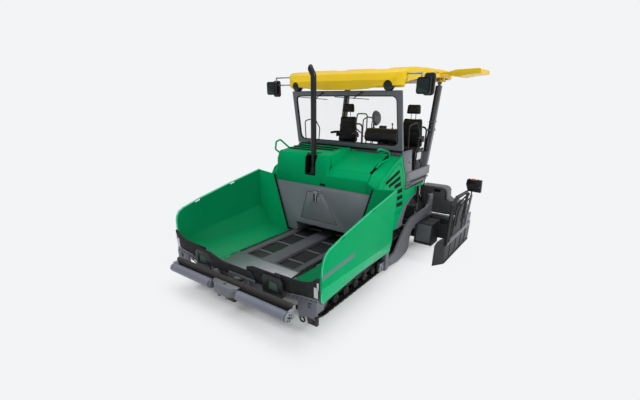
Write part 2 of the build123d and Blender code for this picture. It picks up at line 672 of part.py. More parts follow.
# eyes on a side roof: y from, y to
SIDE_ROOF_EYES = ((2030, 2080), (2520, 2570))


SCREEN_CORNER = 110.0      # radius of the opening's corners


def screen_slab(inset, height, reach):
    """The windscreen's opening, drawn in by the inset, as a slab from -reach to reach."""
    low, high = 80 + inset, height - 80 - inset
    corners = [(-1180 + inset, low), (-1155 + inset, high), (1155 - inset, high), (1180 - inset, low)]
    face = make_face(Polyline([(x, 0, z) for x, z in corners], close=True))
    face = fillet(face.vertices(), SCREEN_CORNER - inset)
    return Pos(0, -reach, 0) * extrude(face, amount=2 * reach, dir=(0, 1, 0))


def windscreen_frame():
    """Frame that leans forward from the sill to the canopy."""
    lean = math.degrees(math.atan2(SILL_Y + 30 - SCREEN_TOP[0], SCREEN_TOP[1] - SILL_Z - 20))
    height = math.hypot(SILL_Y + 30 - SCREEN_TOP[0], SCREEN_TOP[1] - SILL_Z - 20)
    frame = slab_y([(-1270, 0), (-1240, height), (1240, height), (1270, 0)], -30, 30)
    frame -= screen_slab(0, height, 40)
    return Pos(0, SILL_Y + 30, SILL_Z + 20) * Rot(lean, 0, 0) * frame


def windscreen():
    """Glass pane in the frame."""
    lean = math.degrees(math.atan2(SILL_Y + 30 - SCREEN_TOP[0], SCREEN_TOP[1] - SILL_Z - 20))
    height = math.hypot(SILL_Y + 30 - SCREEN_TOP[0], SCREEN_TOP[1] - SILL_Z - 20)
    pane = screen_slab(1, height, 4)
    return Pos(0, SILL_Y + 30, SILL_Z + 20) * Rot(lean, 0, 0) * pane


def rear_posts():
    """Two posts at the back of the stand."""
    posts = []
    for s in (-1, 1):
        x = s * POST_X
        post = block(x - 50, x + 50, 2030, 2125, 1880, 1900) + rod((x, 2080, 1893), (x, 2245, 2600), 42)
        post += rod((x, 2240, 2580), (x, 2420, 3590), 30) + block(x - 40, x + 40, 2385, 2455, 3560, 3600)
        posts.append(post)
    return posts


def canopy():
    """Hollow roof with a deep front edge, cut out round two lamps."""
    outer = slab_x([(150, 3400), (160, 3560), (235, 3680), (420, 3745), (1200, 3800), (2300, 3815),
                    (2750, 3785), (2770, 3660), (2700, 3640), (2460, 3690), (1170, 3630),
                    (480, 3550), (330, 3480), (300, 3400)], -ROOF_X, ROOF_X)
    # rounded front corners, then the lower edge of the front
    outer &= slab_z(ROOF_PLAN, 3300, 3900)
    outer &= slab_y([(-ROOF_X, 3470), (-860, 3455), (-640, 3418), (-300, 3403), (300, 3403), (640, 3418),
                     (860, 3455), (ROOF_X, 3470), (ROOF_X, 3860), (-ROOF_X, 3860)], 100, 2800)
    inner = slab_x([(190, 3380), (200, 3550), (268, 3650), (430, 3712), (1200, 3765), (2300, 3780),
                    (2715, 3750), (2730, 3660), (2700, 3380)], -1262, 1262)
    inner &= slab_z([(-1262, 400), (-1235, 300), (-1160, 230), (-1010, 190), (1010, 190), (1160, 230),
                     (1235, 300), (1262, 400), (1262, 2740), (-1262, 2740)], 3300, 3900)
    roof = outer - inner
    for x in (-1030, 1030):
        roof -= rod((x, 100, 3465), (x, 260, 3465), 88)
    roof += block(-1262, 1262, 300, 380, 3440, 3700)
    roof += block(-1262, 1262, 2380, 2460, 3600, 3790)
    # raised ribs along the top: x from, x to
    for x0, x1 in ((-1120, -760), (-180, 180), (760, 1120)):
        roof += slab_x([(700, 3755), (800, 3790), (1200, 3820), (2300, 3834), (2560, 3815), (2640, 3785)],
                       x0, x1)
    # hinge lugs of the side roofs: y from, y to
    for s in (-1, 1):
        for y0, y1 in SIDE_ROOF_EYES:
            for y in (y0 - 20, y1 + 4):
                lug = block(1290, SIDE_ROOF_HINGE[0], y, y + 16, SIDE_ROOF_HINGE[1] - 9,
                            SIDE_ROOF_HINGE[1] + 9)
                lug += rod((SIDE_ROOF_HINGE[0], y, SIDE_ROOF_HINGE[1]),
                           (SIDE_ROOF_HINGE[0], y + 16, SIDE_ROOF_HINGE[1]), 9)
                roof += lug if s > 0 else flip(lug)
            pin = rod((SIDE_ROOF_HINGE[0], y0 - 20, SIDE_ROOF_HINGE[1]),
                      (SIDE_ROOF_HINGE[0], y1 + 20, SIDE_ROOF_HINGE[1]), HINGE_PIN_R)
            roof += pin if s > 0 else flip(pin)
    return roof


def side_roof():
    """Left folding roof panel."""
    panel = slab_y([(1346, 3728), (1346, 3756), (1480, 3766), (1620, 3800), (2060, 3812), (2100, 3790),
                    (2100, 3720), (1860, 3706), (1660, 3672), (1510, 3692), (1440, 3722)], 1950, 2650)
    x, z = SIDE_ROOF_HINGE
    for y0, y1 in SIDE_ROOF_EYES:
        # room for the lugs, then the eye between them
        for y in (y0 - 26, y1 - 2):
            panel -= block(1330, 1362, y, y + 28, 3700, 3790)
        panel += rod((x, y0, z), (x, y1, z), 9) + block(x, 1352, y0, y1, z - 8, z + 8)
        panel -= rod((x, y0 - 1, z), (x, y1 + 1, z), HINGE_PIN_R + PIN_FIT)
    return panel


def work_lamps():
    """Lamp heads on twin bars at both front corners."""
    heads = []
    # side, distance of the head from the middle, its height
    for s, x, z in ((1, 1640, 3465), (-1, 1800, 3455)):
        head = block(s * x - 90, s * x + 90, 250, 370, z - 135, z + 125)
        x0, x1 = sorted((s * (ROOF_X - 40), s * (x - 60)))
        for z0 in (3497, 3640):
            head += block(x0, x1, 345, 373, z0, z0 + 28)
        x0, x1 = sorted((s * (x - 60), s * (x - 95)))
        head += block(x0, x1, 345, 373, z - 60, 3668)
        heads.append(head - slab_z(ROOF_PLAN, 3300, 3900))
    # round lamps in the roof's front edge, with a foot behind
    for s in (-1, 1):
        lamp = rod((s * 1030, 172, 3465), (s * 1030, 300, 3465), 84)
        heads.append(lamp)
    return heads


# ---------------------------------------------------------------- augers
def auger():
    """Left auger."""
    screw = disc_x(130, 1560, 2080, 320, 45)
    for i in range(6):
        plate = Rot(0, 90, 0) * Cylinder(195, 14)
        screw += Pos(230 + i * 240, 2080, 320) * Rot(0, 18, 0) * plate
    return screw


def auger_drive():
    """Gear case between the augers, its bracket, and the tunnel's end boxes."""
    case = block(-110, 110, 1840, 2200, 200, 520)
    case += block(-60, 60, 1750, 1840, 260, 500)
    case += block(-640, 640, 1750, 1790, 560, 760)
    case += block(-60, 60, 1750, 1840, 500, 620)
    for s in (-1, 1):
        x0, x1 = (640, 1640) if s > 0 else (-1640, -640)
        case += block(x0, x1, 1810, 1850, 560, 600)
        xw0, xw1 = (1215, 1640) if s > 0 else (-1640, -1215)
        case += block(xw0, xw1, 1820, 1850, 60, 600)
        case += block(xw0, xw1, 1850, 2290, 575, 605)
        xe0, xe1 = (1615, 1640) if s > 0 else (-1640, -1615)
        case += block(xe0, xe1, 1850, 2290, 40, 575)
    case += block(-640, 640, 1790, 1850, 560, 600)
    return case


# ---------------------------------------------------------------- screed
def tow_arm():
    """Left tow arm, a cranked plate from the tow point to the screed."""
    outline = [(130, 80), (130, 230), (180, 270), (420, 300), (590, 460), (800, 660), (960, 780),
               (1150, 870), (1500, 890), (2060, 905), (2160, 960), (2210, 1080), (2230, 1170),
               (2420, 1170), (2430, 650), (2300, 640), (1500, 660), (1340, 620), (1220, 530),
               (1160, 400), (1150, 200), (1060, 110), (810, 60), (600, 35)]
    arm = slab_x(outline, ARM_X, ARM_X + ARM_T)
    arm -= disc_x(ARM_X - 5, ARM_X + ARM_T + 5, TOW_Y, TOW_Z, 30 + PIN_FIT)
    # lug beside the lift cylinder's eye
    y, z = LIFT_EYE
    arm += block(ARM_X, ARM_X + 8, y - 35, y + 35, 860, z + 30)
    return arm


def screed_base():
    """Fixed-width screed in the middle, with the cabinets over it."""
    base = block(-1270, 1270, SCREED_Y, EXT_Y - GAP, 0, 480)
    base += block(-1290, 1290, 2400, EXT_Y - GAP, 480, 780)
    # wall with the valve cabinets over the middle
    base += block(-930, 930, 2540, EXT_Y - GAP, 780, 1200)
    for s in (-1, 1):
        x0, x1 = (1230, ARM_X) if s > 0 else (-ARM_X, -1230)
        base += block(x0, x1, 2345, 2425, 470, 1150)
    base -= disc_x(150, 1300, TUBE_Y, TUBE_Z, TUBE_R + 0.05)
    base -= disc_x(-1300, -150, TUBE_Y, TUBE_Z, TUBE_R + 0.05)
    return base


def extension():
    """Left sliding extension behind the fixed screed: a base, a drive box and a walkway."""
    y0, y1 = EXT_Y, REAR_Y - 20
    ext = block(960, GATE_X, y0, y1, 0, 380)
    ext += block(960, 1990, y0 + 60, y1 - 40, 380, 500)
    ext += slab_y([(960, 500), (960, 1290), (1480, 1290), (1560, 1270), (1610, 1210), (1625, 1040),
                   (1700, 990), (1960, 985), (2040, 940), (2060, 860), (2060, 500)], y0, y1)
    # hollow inside, open at the rear
    ext -= slab_y([(985, 525), (985, 1265), (1475, 1265), (1545, 1248), (1585, 1200), (1600, 1030),
                   (1690, 965), (1955, 960), (2020, 925), (2035, 850), (2035, 525)], y0 + 25, y1 + 5)
    ext -= block(990, GATE_X - 30, y0 + 30, y1 + 5, 60, 355)
    return ext


def guide_tube():
    """Left telescopic tube."""
    return disc_x(620, GATE_X, TUBE_Y, TUBE_Z, TUBE_R)


def end_gate():
    """Left end gate with its guard, beam and control mast."""
    x = GATE_X
    gate = block(x, x + 25, 1150, REAR_Y, 0, 420)
    # nose, bent inwards, with a rounded top in (y, z)
    nose = slab_z([(2005, 905), (2015, 895), (x + 12, 1120), (x + 25, 1150), (x + 25, 1170), (x, 1170)], 0, 600)
    nose &= slab_x([(880, 0), (880, 330), (905, 450), (950, 530), (1020, 580), (1100, 590), (1180, 560),
                    (1180, 0)], 1900, 2300)
    gate += nose
    gate += block(x, x + 60, 1280, 2850, 440, 540) + block(x, x + 25, 1280, REAR_Y, 415, 445)
    gate += block(x, x + 30, 2420, 2900, 540, 740)
    # guard loop and its middle bar
    gate += block(x, x + 60, 1080, 1280, 440, 500)
    gate += pipe([(x + 30, 1110, 490), (x + 30, 1110, 1300), (x + 30, 1330, 1440), (x + 30, 2200, 1400),
                  (x + 30, 2250, 500)], 19, 90)
    gate += rod((x + 30, 1330, 500), (x + 30, 1330, 1430), 12)
    # panel inside the loop
    gate += block(x + 12, x + 24, 1500, 2300, 530, 1150)
    # mast and control box
    gate += slab_x([(2400, 530), (2520, 1230), (2600, 1230), (2480, 530)], x + 20, x + 60)
    gate += slab_x([(2525, 1220), (2490, 1330), (2490, 1380), (2530, 1380), (2575, 1220)], x + 30, x + 50)
    gate += slab_y([(x - 100, 1480), (x - 90, 1590), (x + 220, 1590), (x + 240, 1320), (x - 40, 1330)],
                   2470, 2570)
    for hole_x in (x - 52, x + 195):
        gate -= rod((hole_x, 2460, 1425), (hole_x, 2580, 1425), 16)
    return gate


# ---------------------------------------------------------------- tow point and cylinders
def tow_points():
    """Levelling rams beside the tracks, with the pins the tow arms hang on, and lift brackets."""
    points = []
    column = block(1277, 1370, -30, 100, 60, 1000)
    column += block(1277, 1294, 60, 290, 100, 220)
    column += disc_x(1290, ARM_X + ARM_T + 12, TOW_Y, TOW_Z, 30)
    y, z = LIFT_FOOT
    bracket = block(BODY_X, BODY_X + 15, y - 40, y + 40, z - 30, z + 30)
    bracket += disc_x(BODY_X + 5, LIFT_X + 32, y, z, PIN_R)
    points += [column, bracket]
    return points + [flip(p) for p in points]


def cylinder(foot, head, across, tail, barrel_end, bore, rod_r):
    """Barrel and rod between two eyes; tail and barrel_end are distances from the foot."""
    start, end = Vector(*foot), Vector(*head)
    along = (end - start).normalized()
    side = Vector(*across)

    def cross_bar(point, reach, radius):
        return rod(tuple(point - side * reach), tuple(point + side * reach), radius)

    def shaft(first, last, radius):
        return rod(tuple(start + along * first), tuple(start + along * last), radius)

    barrel = shaft(22, barrel_end, bore) + cross_bar(start, 15, 34)
    barrel -= shaft(55, barrel_end + 5, rod_r + PIN_FIT)
    barrel -= cross_bar(start, 50, PIN_R + PIN_FIT)
    ram = shaft(tail, (end - start).length - 10, rod_r) + cross_bar(end, 15, 34)
    ram += cross_bar(end, 19, PIN_R)
    return barrel, ram


def wing_cylinder():
    """Cylinder under the left wing."""
    foot = (WING_FOOT[0], WING_CYL_Y, WING_FOOT[1])
    head = (WING_EYE[0], WING_CYL_Y, WING_EYE[1])
    return cylinder(foot, head, (0, 1, 0), 70, 500, 36, 22)


def lift_cylinder():
    """Cylinder that lifts the screed, left side."""
    foot = (LIFT_X, *LIFT_FOOT)
    head = (LIFT_X, *LIFT_EYE)
    return cylinder(foot, head, (1, 0, 0), 235, 345, 32, 20)


# ---------------------------------------------------------------- write the parts
save("main_frame", *main_frame())
save("wing_supports", *wing_supports())
save("engine_block", engine_block())
save("fuel_tank", fuel_tank())
left_track = track()
save("tracks", left_track, flip(left_track))
left_frame = track_frame()
save("track_frames", left_frame, flip(left_frame))
save("conveyor_guards", conveyor_guards())
save("slat_conveyors", *slat_conveyors())
save("back_wall", back_wall())
save("wall_hatch", wall_hatch())
save_pair("wing", wing())
save_pair("wing_apron", wing_apron())
save("centre_apron", *centre_apron())
save_pair("wing_foot_plate", wing_foot_plate())
save("push_beam", push_beam())
save_pair("push_roller", push_roller())
save("bonnet_front", bonnet_front())
save("bonnet_lid", bonnet_lid())
save("body_sides", *body_sides())
save_pair("side_door", side_door())
save("fenders", *fenders())
save("exhaust", exhaust())
save("platform", platform())
save("seats", *seats())
save("console", console())
save("handrails", *handrails())
save("windscreen_frame", windscreen_frame())
save("windscreen", windscreen())
save("rear_posts", *rear_posts())
save("canopy", canopy())
save_pair("side_roof", side_roof())
save("work_lamps", *work_lamps())
save_pair("auger", auger())
save("auger_drive", auger_drive())
arm = tow_arm()
save("tow_arms", arm, flip(arm))
save("screed_base", screed_base())
save_pair("extension", extension())
save_pair("guide_tube", guide_tube())
save_pair("end_gate", end_gate())
save("tow_points", *tow_points())
for stem, pair in (("wing_cylinder", wing_cylinder()), ("lift_cylinder", lift_cylinder())):
    save_pair(f"{stem}_barrel", pair[0])
    save_pair(f"{stem}_rod", pair[1])
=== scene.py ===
# %% [markdown]
# # An asphalt paver, dressed in Blender
#
# The machine is already there as a frame of solids, in metres, with +Z up, -Y towards the
# hopper and +X towards the machine's left side. This script gives every solid a finish, rounds
# its edges, and adds the parts that make it look like a paver: track pads, conveyor chains,
# louvres, lamps, seats, rails and hoses. The solids are never moved or reshaped. Every new piece is
# placed in their frame and rides on one of their bodies.

# %% Load the frame
import bpy
import bmesh
import json
import math
from mathutils import Matrix, Vector

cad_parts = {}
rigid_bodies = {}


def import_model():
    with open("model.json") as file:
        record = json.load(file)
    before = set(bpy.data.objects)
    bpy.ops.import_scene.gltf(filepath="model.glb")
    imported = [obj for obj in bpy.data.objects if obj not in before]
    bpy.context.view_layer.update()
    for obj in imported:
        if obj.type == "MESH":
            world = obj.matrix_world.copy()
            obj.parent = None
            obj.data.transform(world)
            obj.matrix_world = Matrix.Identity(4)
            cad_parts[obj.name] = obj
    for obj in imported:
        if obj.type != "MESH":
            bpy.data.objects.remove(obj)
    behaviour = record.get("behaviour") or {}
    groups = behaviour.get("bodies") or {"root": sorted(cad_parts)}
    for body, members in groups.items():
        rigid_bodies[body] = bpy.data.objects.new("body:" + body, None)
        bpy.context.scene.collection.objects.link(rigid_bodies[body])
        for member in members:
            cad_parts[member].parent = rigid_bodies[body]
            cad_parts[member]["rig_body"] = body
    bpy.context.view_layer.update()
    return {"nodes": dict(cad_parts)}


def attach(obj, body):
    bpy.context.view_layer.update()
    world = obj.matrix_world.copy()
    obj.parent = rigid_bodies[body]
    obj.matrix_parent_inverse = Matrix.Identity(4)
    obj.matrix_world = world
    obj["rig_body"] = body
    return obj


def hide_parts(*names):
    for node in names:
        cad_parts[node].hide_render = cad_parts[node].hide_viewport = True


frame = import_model()

# %% [markdown]
# ## Shader maths
#
# A procedural finish is arithmetic on noise. Written as nodes it soon fills a screen, so one
# small class wraps a socket and lets Python's own operators add the Math nodes. Everything else
# goes through `Finish.add`, which takes a node type, its settings and its inputs.

# %% A number that lives in a socket
class Num:
    def __init__(self, tree, socket):
        self.tree = tree
        self.socket = socket

    def math(self, operation, *others, first=None):
        node = self.tree.nodes.new("ShaderNodeMath")
        node.operation = operation
        values = [self if first is None else first, *others]
        for place, value in enumerate(values):
            if isinstance(value, Num):
                self.tree.links.new(value.socket, node.inputs[place])
            else:
                node.inputs[place].default_value = value
        return Num(self.tree, node.outputs[0])

    def __add__(self, other):
        return self.math("ADD", other)

    def __sub__(self, other):
        return self.math("SUBTRACT", other)

    def __rsub__(self, other):
        return self.math("SUBTRACT", self, first=other)

    def __mul__(self, other):
        return self.math("MULTIPLY", other)

    def __truediv__(self, other):
        return self.math("DIVIDE", other)

    def __pow__(self, other):
        return self.math("POWER", other)

    __radd__ = __add__
    __rmul__ = __mul__

    def above(self, low, high):
        """0 at low, 1 at high, and straight between them."""
        return ((self - low) / (high - low)).clamp()

    def clamp(self):
        return self.math("MINIMUM", 1.0).math("MAXIMUM", 0.0)


# %% [markdown]
# Colours are written here as they look on a screen, from 0 to 255, and turned into the linear
# values that a renderer counts in.

# %% Colours
def tone(red, green, blue):
    def linear(value):
        value /= 255
        return value / 12.92 if value <= 0.04045 else ((value + 0.055) / 1.055) ** 2.4
    return (linear(red), linear(green), linear(blue), 1.0)


def shade(colour, factor):
    return tuple(channel * factor for channel in colour[:3]) + (1.0,)


print("mid grey as the renderer counts it:", round(tone(128, 128, 128)[0], 3))


# %% A material, with short ways to add its nodes
class Finish:
    def __init__(self, name):
        self.material = bpy.data.materials.new(name)
        self.material.use_nodes = True
        self.tree = self.material.node_tree
        self.shader = self.tree.nodes["Principled BSDF"]

    def add(self, kind, settings=None, sockets=None, out=0):
        """A node with its settings made first, then the values or links of its sockets."""
        node = self.tree.nodes.new(kind)
        for key, value in (settings or {}).items():
            if key == "stops":
                ramp = node.color_ramp
                ramp.elements[0].position, ramp.elements[0].color = value[0]
                ramp.elements[1].position, ramp.elements[1].color = value[-1]
                for position, colour in value[1:-1]:
                    ramp.elements.new(position).color = colour
            else:
                setattr(node, key, value)
        for key, value in (sockets or {}).items():
            self.feed(node.inputs[key], value)
        return Num(self.tree, node.outputs[out])

    def feed(self, socket, value):
        if isinstance(value, Num):
            self.tree.links.new(value.socket, socket)
        else:
            socket.default_value = value

    def set(self, **values):
        """Sockets of the shader; a name's underscores stand for spaces."""
        for key, value in values.items():
            self.feed(self.shader.inputs[key.replace("_", " ")], value)
        return self

    def place(self):
        return self.add("ShaderNodeTexCoord", out="Object")

    def noise(self, scale, detail, rough=0.5, stretch=None):
        where = self.place()
        if stretch:
            where = self.add("ShaderNodeMapping", sockets={"Vector": where, "Scale": stretch})
        return self.add("ShaderNodeTexNoise", sockets={
            "Vector": where, "Scale": scale, "Detail": detail, "Roughness": rough})

    def height(self):
        return self.add("ShaderNodeSeparateXYZ", sockets={0: self.place()}, out=2)

    def facing_up(self):
        normal = self.add("ShaderNodeNewGeometry", out="Normal")
        return self.add("ShaderNodeSeparateXYZ", sockets={0: normal}, out=2)

    def mix(self, factor, first, second):
        return self.add("ShaderNodeMix", {"data_type": "RGBA"},
                        {0: factor, 6: first, 7: second}, out=2)

    def bump(self, height, strength, distance):
        self.set(Normal=self.add("ShaderNodeBump", sockets={
            "Height": height, "Strength": strength, "Distance": distance}))
        return self


# %% [markdown]
# ## The finishes
#
# A paver is painted steel first. Its paint is a hard two-part enamel: a deep colour, a thin clear
# gloss and the slight ripple of sprayed paint. A new machine is nearly clean, so there is only a
# breath of dust on what faces up, and a little more near the ground.

# %% Painted steel
def paint(name, colour, gloss=0.36, coat=0.10, dust=0.08, shine=0.30):
    finish = Finish(name)
    broad = finish.noise(1.3, 3.0)
    speckle = finish.noise(38.0, 5.0, 0.65)
    low = 1 - finish.height().above(0.1, 1.3)
    settled = (finish.facing_up().above(0.35, 0.95) * 0.5 + low * 0.7) * speckle.above(0.42, 0.72)
    worn = finish.mix(broad.above(0.3, 0.75), shade(colour, 0.93), shade(colour, 1.05))
    finish.set(Base_Color=finish.mix((settled * dust).clamp(), worn, tone(168, 160, 148)),
               Roughness=(settled * 0.3 + broad * 0.08 + (gloss - 0.04)).clamp(),
               Coat_Weight=coat, Coat_Roughness=0.12, Specular_IOR_Level=shine)
    return finish.bump(finish.noise(160.0, 2.0), 0.06, 0.0008).material


GREEN = paint("green_enamel", tone(0, 160, 98), coat=0.0, dust=0.0, shine=0.03)
# The next greens stand in for light and shade: a lighter, glossier one is a painted sheen on the wing's low
# band, a lighter one a painted highlight on its rim, and three darker ones are painted shade on the wing's
# underside, floor and inside.
GREEN_PAINTED_SHEEN = paint("green_enamel_painted_sheen", tone(0, 174, 114), gloss=0.25, coat=0.18, dust=0.0, shine=0.1)
GREEN_PAINTED_HIGHLIGHT = paint("green_enamel_rim_painted_highlight", tone(78, 200, 150), dust=0.0)
GREEN_UNDER_PAINTED_SHADE = paint("green_enamel_shaded", tone(0, 132, 80), coat=0.04, dust=0.02, shine=0.12)
GREEN_FLOOR_PAINTED_SHADE = paint("green_enamel_floor_painted_shade", tone(0, 124, 75), coat=0.03, dust=0.01, shine=0.08)
GREEN_INSIDE_PAINTED_SHADE = paint("green_enamel_inside_painted_shade", tone(0, 118, 71), coat=0.03, dust=0.0, shine=0.08)
YELLOW = paint("canopy_yellow", tone(246, 205, 22), gloss=0.3, dust=0.05)
FRAME_GREY = paint("frame_grey_enamel", tone(104, 106, 114))
WALL_GREY = paint("wall_grey_enamel", tone(142, 146, 152), gloss=0.45, coat=0.05)
WORN_GREY = paint("latch_grey_enamel", tone(158, 162, 164), gloss=0.45, coat=0.05)
BEAM_BROWN = paint("push_beam_enamel", tone(54, 52, 48), gloss=0.42, coat=0.05, shine=0.2)
LIGHT_GREY = paint("light_grey_enamel", tone(136, 139, 146))
DARK_GREY = paint("dark_grey_enamel", tone(66, 67, 72), gloss=0.42, coat=0.15)
GUARD_GREY = paint("guard_grey_enamel", tone(84, 85, 90), gloss=0.45, coat=0.1)
ARM_GREY = paint("arm_grey_enamel", tone(104, 106, 112), gloss=0.42, coat=0.1)
SCREED_GREY = paint("screed_grey_enamel", tone(98, 100, 103), gloss=0.45, coat=0.05)
GATE_GREY = paint("gate_grey_enamel", tone(40, 41, 45), gloss=0.42, coat=0.08)
ROLLER_GREY = paint("roller_grey", tone(112, 115, 128), gloss=0.3, coat=0.2)
STRIPE = paint("stripe_grey_green", tone(92, 130, 124), coat=0.02, dust=0.0, shine=0.08)
GREY_GREEN = paint("hinge_green_enamel", tone(70, 104, 92), coat=0.05, shine=0.2)
BLACK_METAL = paint("black_enamel", tone(28, 28, 31), gloss=0.38, coat=0.1, dust=0.06)
WHITE_PLATE = paint("white_plate", tone(206, 208, 212), coat=0.2)
print("paints:", len(bpy.data.materials))


# %% [markdown]
# Moulded plastic, rubber and bare metal each scatter light their own way. Plastic has a fine even
# grain, rubber is dull with a bloom of grey, and bare steel keeps long scratches in the direction
# it was rubbed.

# %% Plastic, rubber and bare metal
def plastic(name, colour, rough=0.5, grain=0.25, scale=420.0):
    finish = Finish(name)
    mottle = finish.noise(6.0, 3.0)
    finish.set(Base_Color=finish.mix(mottle.above(0.35, 0.7), shade(colour, 0.85), shade(colour, 1.15)),
               Roughness=mottle * 0.12 + (rough - 0.06))
    return finish.bump(finish.noise(scale, 2.0), grain, 0.0006).material


def rubber(name, colour, bloom):
    finish = Finish(name)
    patch = finish.noise(9.0, 4.0, 0.6)
    fine = finish.noise(120.0, 3.0)
    finish.set(Base_Color=finish.mix((patch.above(0.45, 0.8) * bloom).clamp(), colour, tone(92, 90, 88)),
               Roughness=fine * 0.2 + 0.62, Specular_IOR_Level=0.35)
    return finish.bump(fine, 0.35, 0.0012).material


def metal(name, colour, rough=0.35, stretch=(1.0, 14.0, 14.0), rust=0.0):
    finish = Finish(name)
    scratch = finish.noise(22.0, 6.0, 0.7, stretch)
    patch = finish.noise(5.0, 5.0, 0.6)
    bare = finish.mix(scratch.above(0.3, 0.7), shade(colour, 0.75), shade(colour, 1.1))
    brown = (patch.above(0.5, 0.68) * rust).clamp()
    finish.set(Base_Color=finish.mix(brown, bare, tone(96, 66, 46)),
               Metallic=(1 - brown).clamp(), Roughness=scratch * 0.25 + brown * 0.3 + (rough - 0.1))
    return finish.bump(scratch, 0.15, 0.0008).material


BLACK_PLASTIC = plastic("black_plastic", tone(24, 24, 27))
# a near-black without shine, painted shade where vents, slots and recesses fall dark
PAINTED_SHADE_BLACK = plastic("painted_shade_black", tone(9, 9, 10), rough=0.9)
MIRROR_GREY = plastic("mirror_grey", tone(92, 94, 98), rough=0.3, grain=0.1)
SEAT_BLACK = plastic("seat_vinyl", tone(8, 8, 10), rough=0.62, grain=0.5, scale=300.0)
RUBBER = rubber("rubber_sheet", tone(20, 20, 23), bloom=0.15)
TRACK_RUBBER = rubber("track_pad_rubber", tone(38, 37, 37), bloom=0.45)
WORN_STEEL = metal("worn_steel", tone(120, 118, 118), rust=0.12)
GALVANISED = metal("galvanised_steel", tone(168, 171, 176), rough=0.38, stretch=(3.0, 3.0, 3.0))
IRON = metal("cast_iron", tone(70, 68, 68), rough=0.55, rust=0.15)
CHROME = metal("hard_chrome", tone(225, 226, 230), rough=0.16)
ROD_STEEL = metal("lift_rod_steel", tone(112, 113, 118), rough=0.3)
HOSE = rubber("hose_black", tone(26, 26, 28), bloom=0.1)


# %% Glass and lamp lenses
def glass(name, colour, alpha, rough=0.02, specular=0.5):
    finish = Finish(name)
    smear = finish.noise(3.0, 4.0)
    finish.set(Base_Color=finish.mix(smear.above(0.4, 0.8), colour, shade(colour, 0.9)),
               Roughness=smear * 0.05 + rough, IOR=1.45, Specular_IOR_Level=specular,
               Alpha=(smear * 0.04 + (alpha - 0.02)).clamp())
    return finish.material


PANE = glass("windscreen_glass", tone(24, 32, 30), alpha=0.035, specular=0.1)
LENS = glass("lamp_glass", tone(22, 44, 42), rough=0.05, alpha=0.85)
AMBER = plastic("amber_lens", tone(236, 96, 24), rough=0.25, grain=0.1)
print("finishes in all:", len(bpy.data.materials))


# %% [markdown]
# ## Modelling helpers
#
# Everything below is made with bmesh operators. `prism` stands a flat outline up into a plate,
# `bar` is a round bar between two points, and `bent_tube` pulls a circle along straight runs and
# spins it round each bend, which is how a tube bender works too.

# %% Boxes, bars and plates
def box_at(bm, low, high):
    """A box between two corners."""
    low, high = Vector(low), Vector(high)
    place = Matrix.Translation((low + high) / 2) @ Matrix.Diagonal((*(high - low), 1.0))
    return bmesh.ops.create_cube(bm, size=1.0, matrix=place)["verts"]


SIDES = ((1, "left"), (-1, "right"))      # +1 is the machine's left


def side_box(bm, side, low, high):
    """A box given for the left side, or its mirror image on the right."""
    x0, x1 = sorted((side * low[0], side * high[0]))
    return box_at(bm, (x0, *low[1:]), (x1, *high[1:]))


def bar(bm, start, end, radius, sides, tip=None):
    """A round bar, or a cone where tip is its radius at the end."""
    start, end = Vector(start), Vector(end)
    along = end - start
    turn = along.to_track_quat("Z", "Y").to_matrix().to_4x4()
    place = Matrix.Translation((start + end) / 2) @ turn
    return bmesh.ops.create_cone(bm, cap_ends=True, segments=sides, radius1=radius,
                                 radius2=radius if tip is None else tip,
                                 depth=along.length, matrix=place)["verts"]


def prism(bm, outline, across, start, end):
    """A flat outline, (y, z), (x, z) or (x, y) as across is X, Y or Z, made a plate from start to end."""
    def corner(a, b):
        return {"X": (start, a, b), "Y": (a, start, b), "Z": (a, b, start)}[across]
    verts = [bm.verts.new(corner(a, b)) for a, b in outline]
    face = bm.faces.new(verts)
    out = bmesh.ops.extrude_face_region(bm, geom=[face])
    new = [g for g in out["geom"] if isinstance(g, bmesh.types.BMVert)]
    step = {"X": (end - start, 0, 0), "Y": (0, end - start, 0), "Z": (0, 0, end - start)}[across]
    bmesh.ops.translate(bm, verts=new, vec=step)
    return verts + new


CORNER_STEPS = 5


def plate_round(bm, low, high, radius):
    """A plate across y whose corners are round in x and z."""
    outline = []
    for x, z, start in ((high[0] - radius, high[2] - radius, 0), (low[0] + radius, high[2] - radius, 90),
                        (low[0] + radius, low[2] + radius, 180), (high[0] - radius, low[2] + radius, 270)):
        for step in range(CORNER_STEPS + 1):
            angle = math.radians(start + 90 * step / CORNER_STEPS)
            outline.append((x + radius * math.cos(angle), z + radius * math.sin(angle)))
    prism(bm, outline, "Y", low[1], high[1])


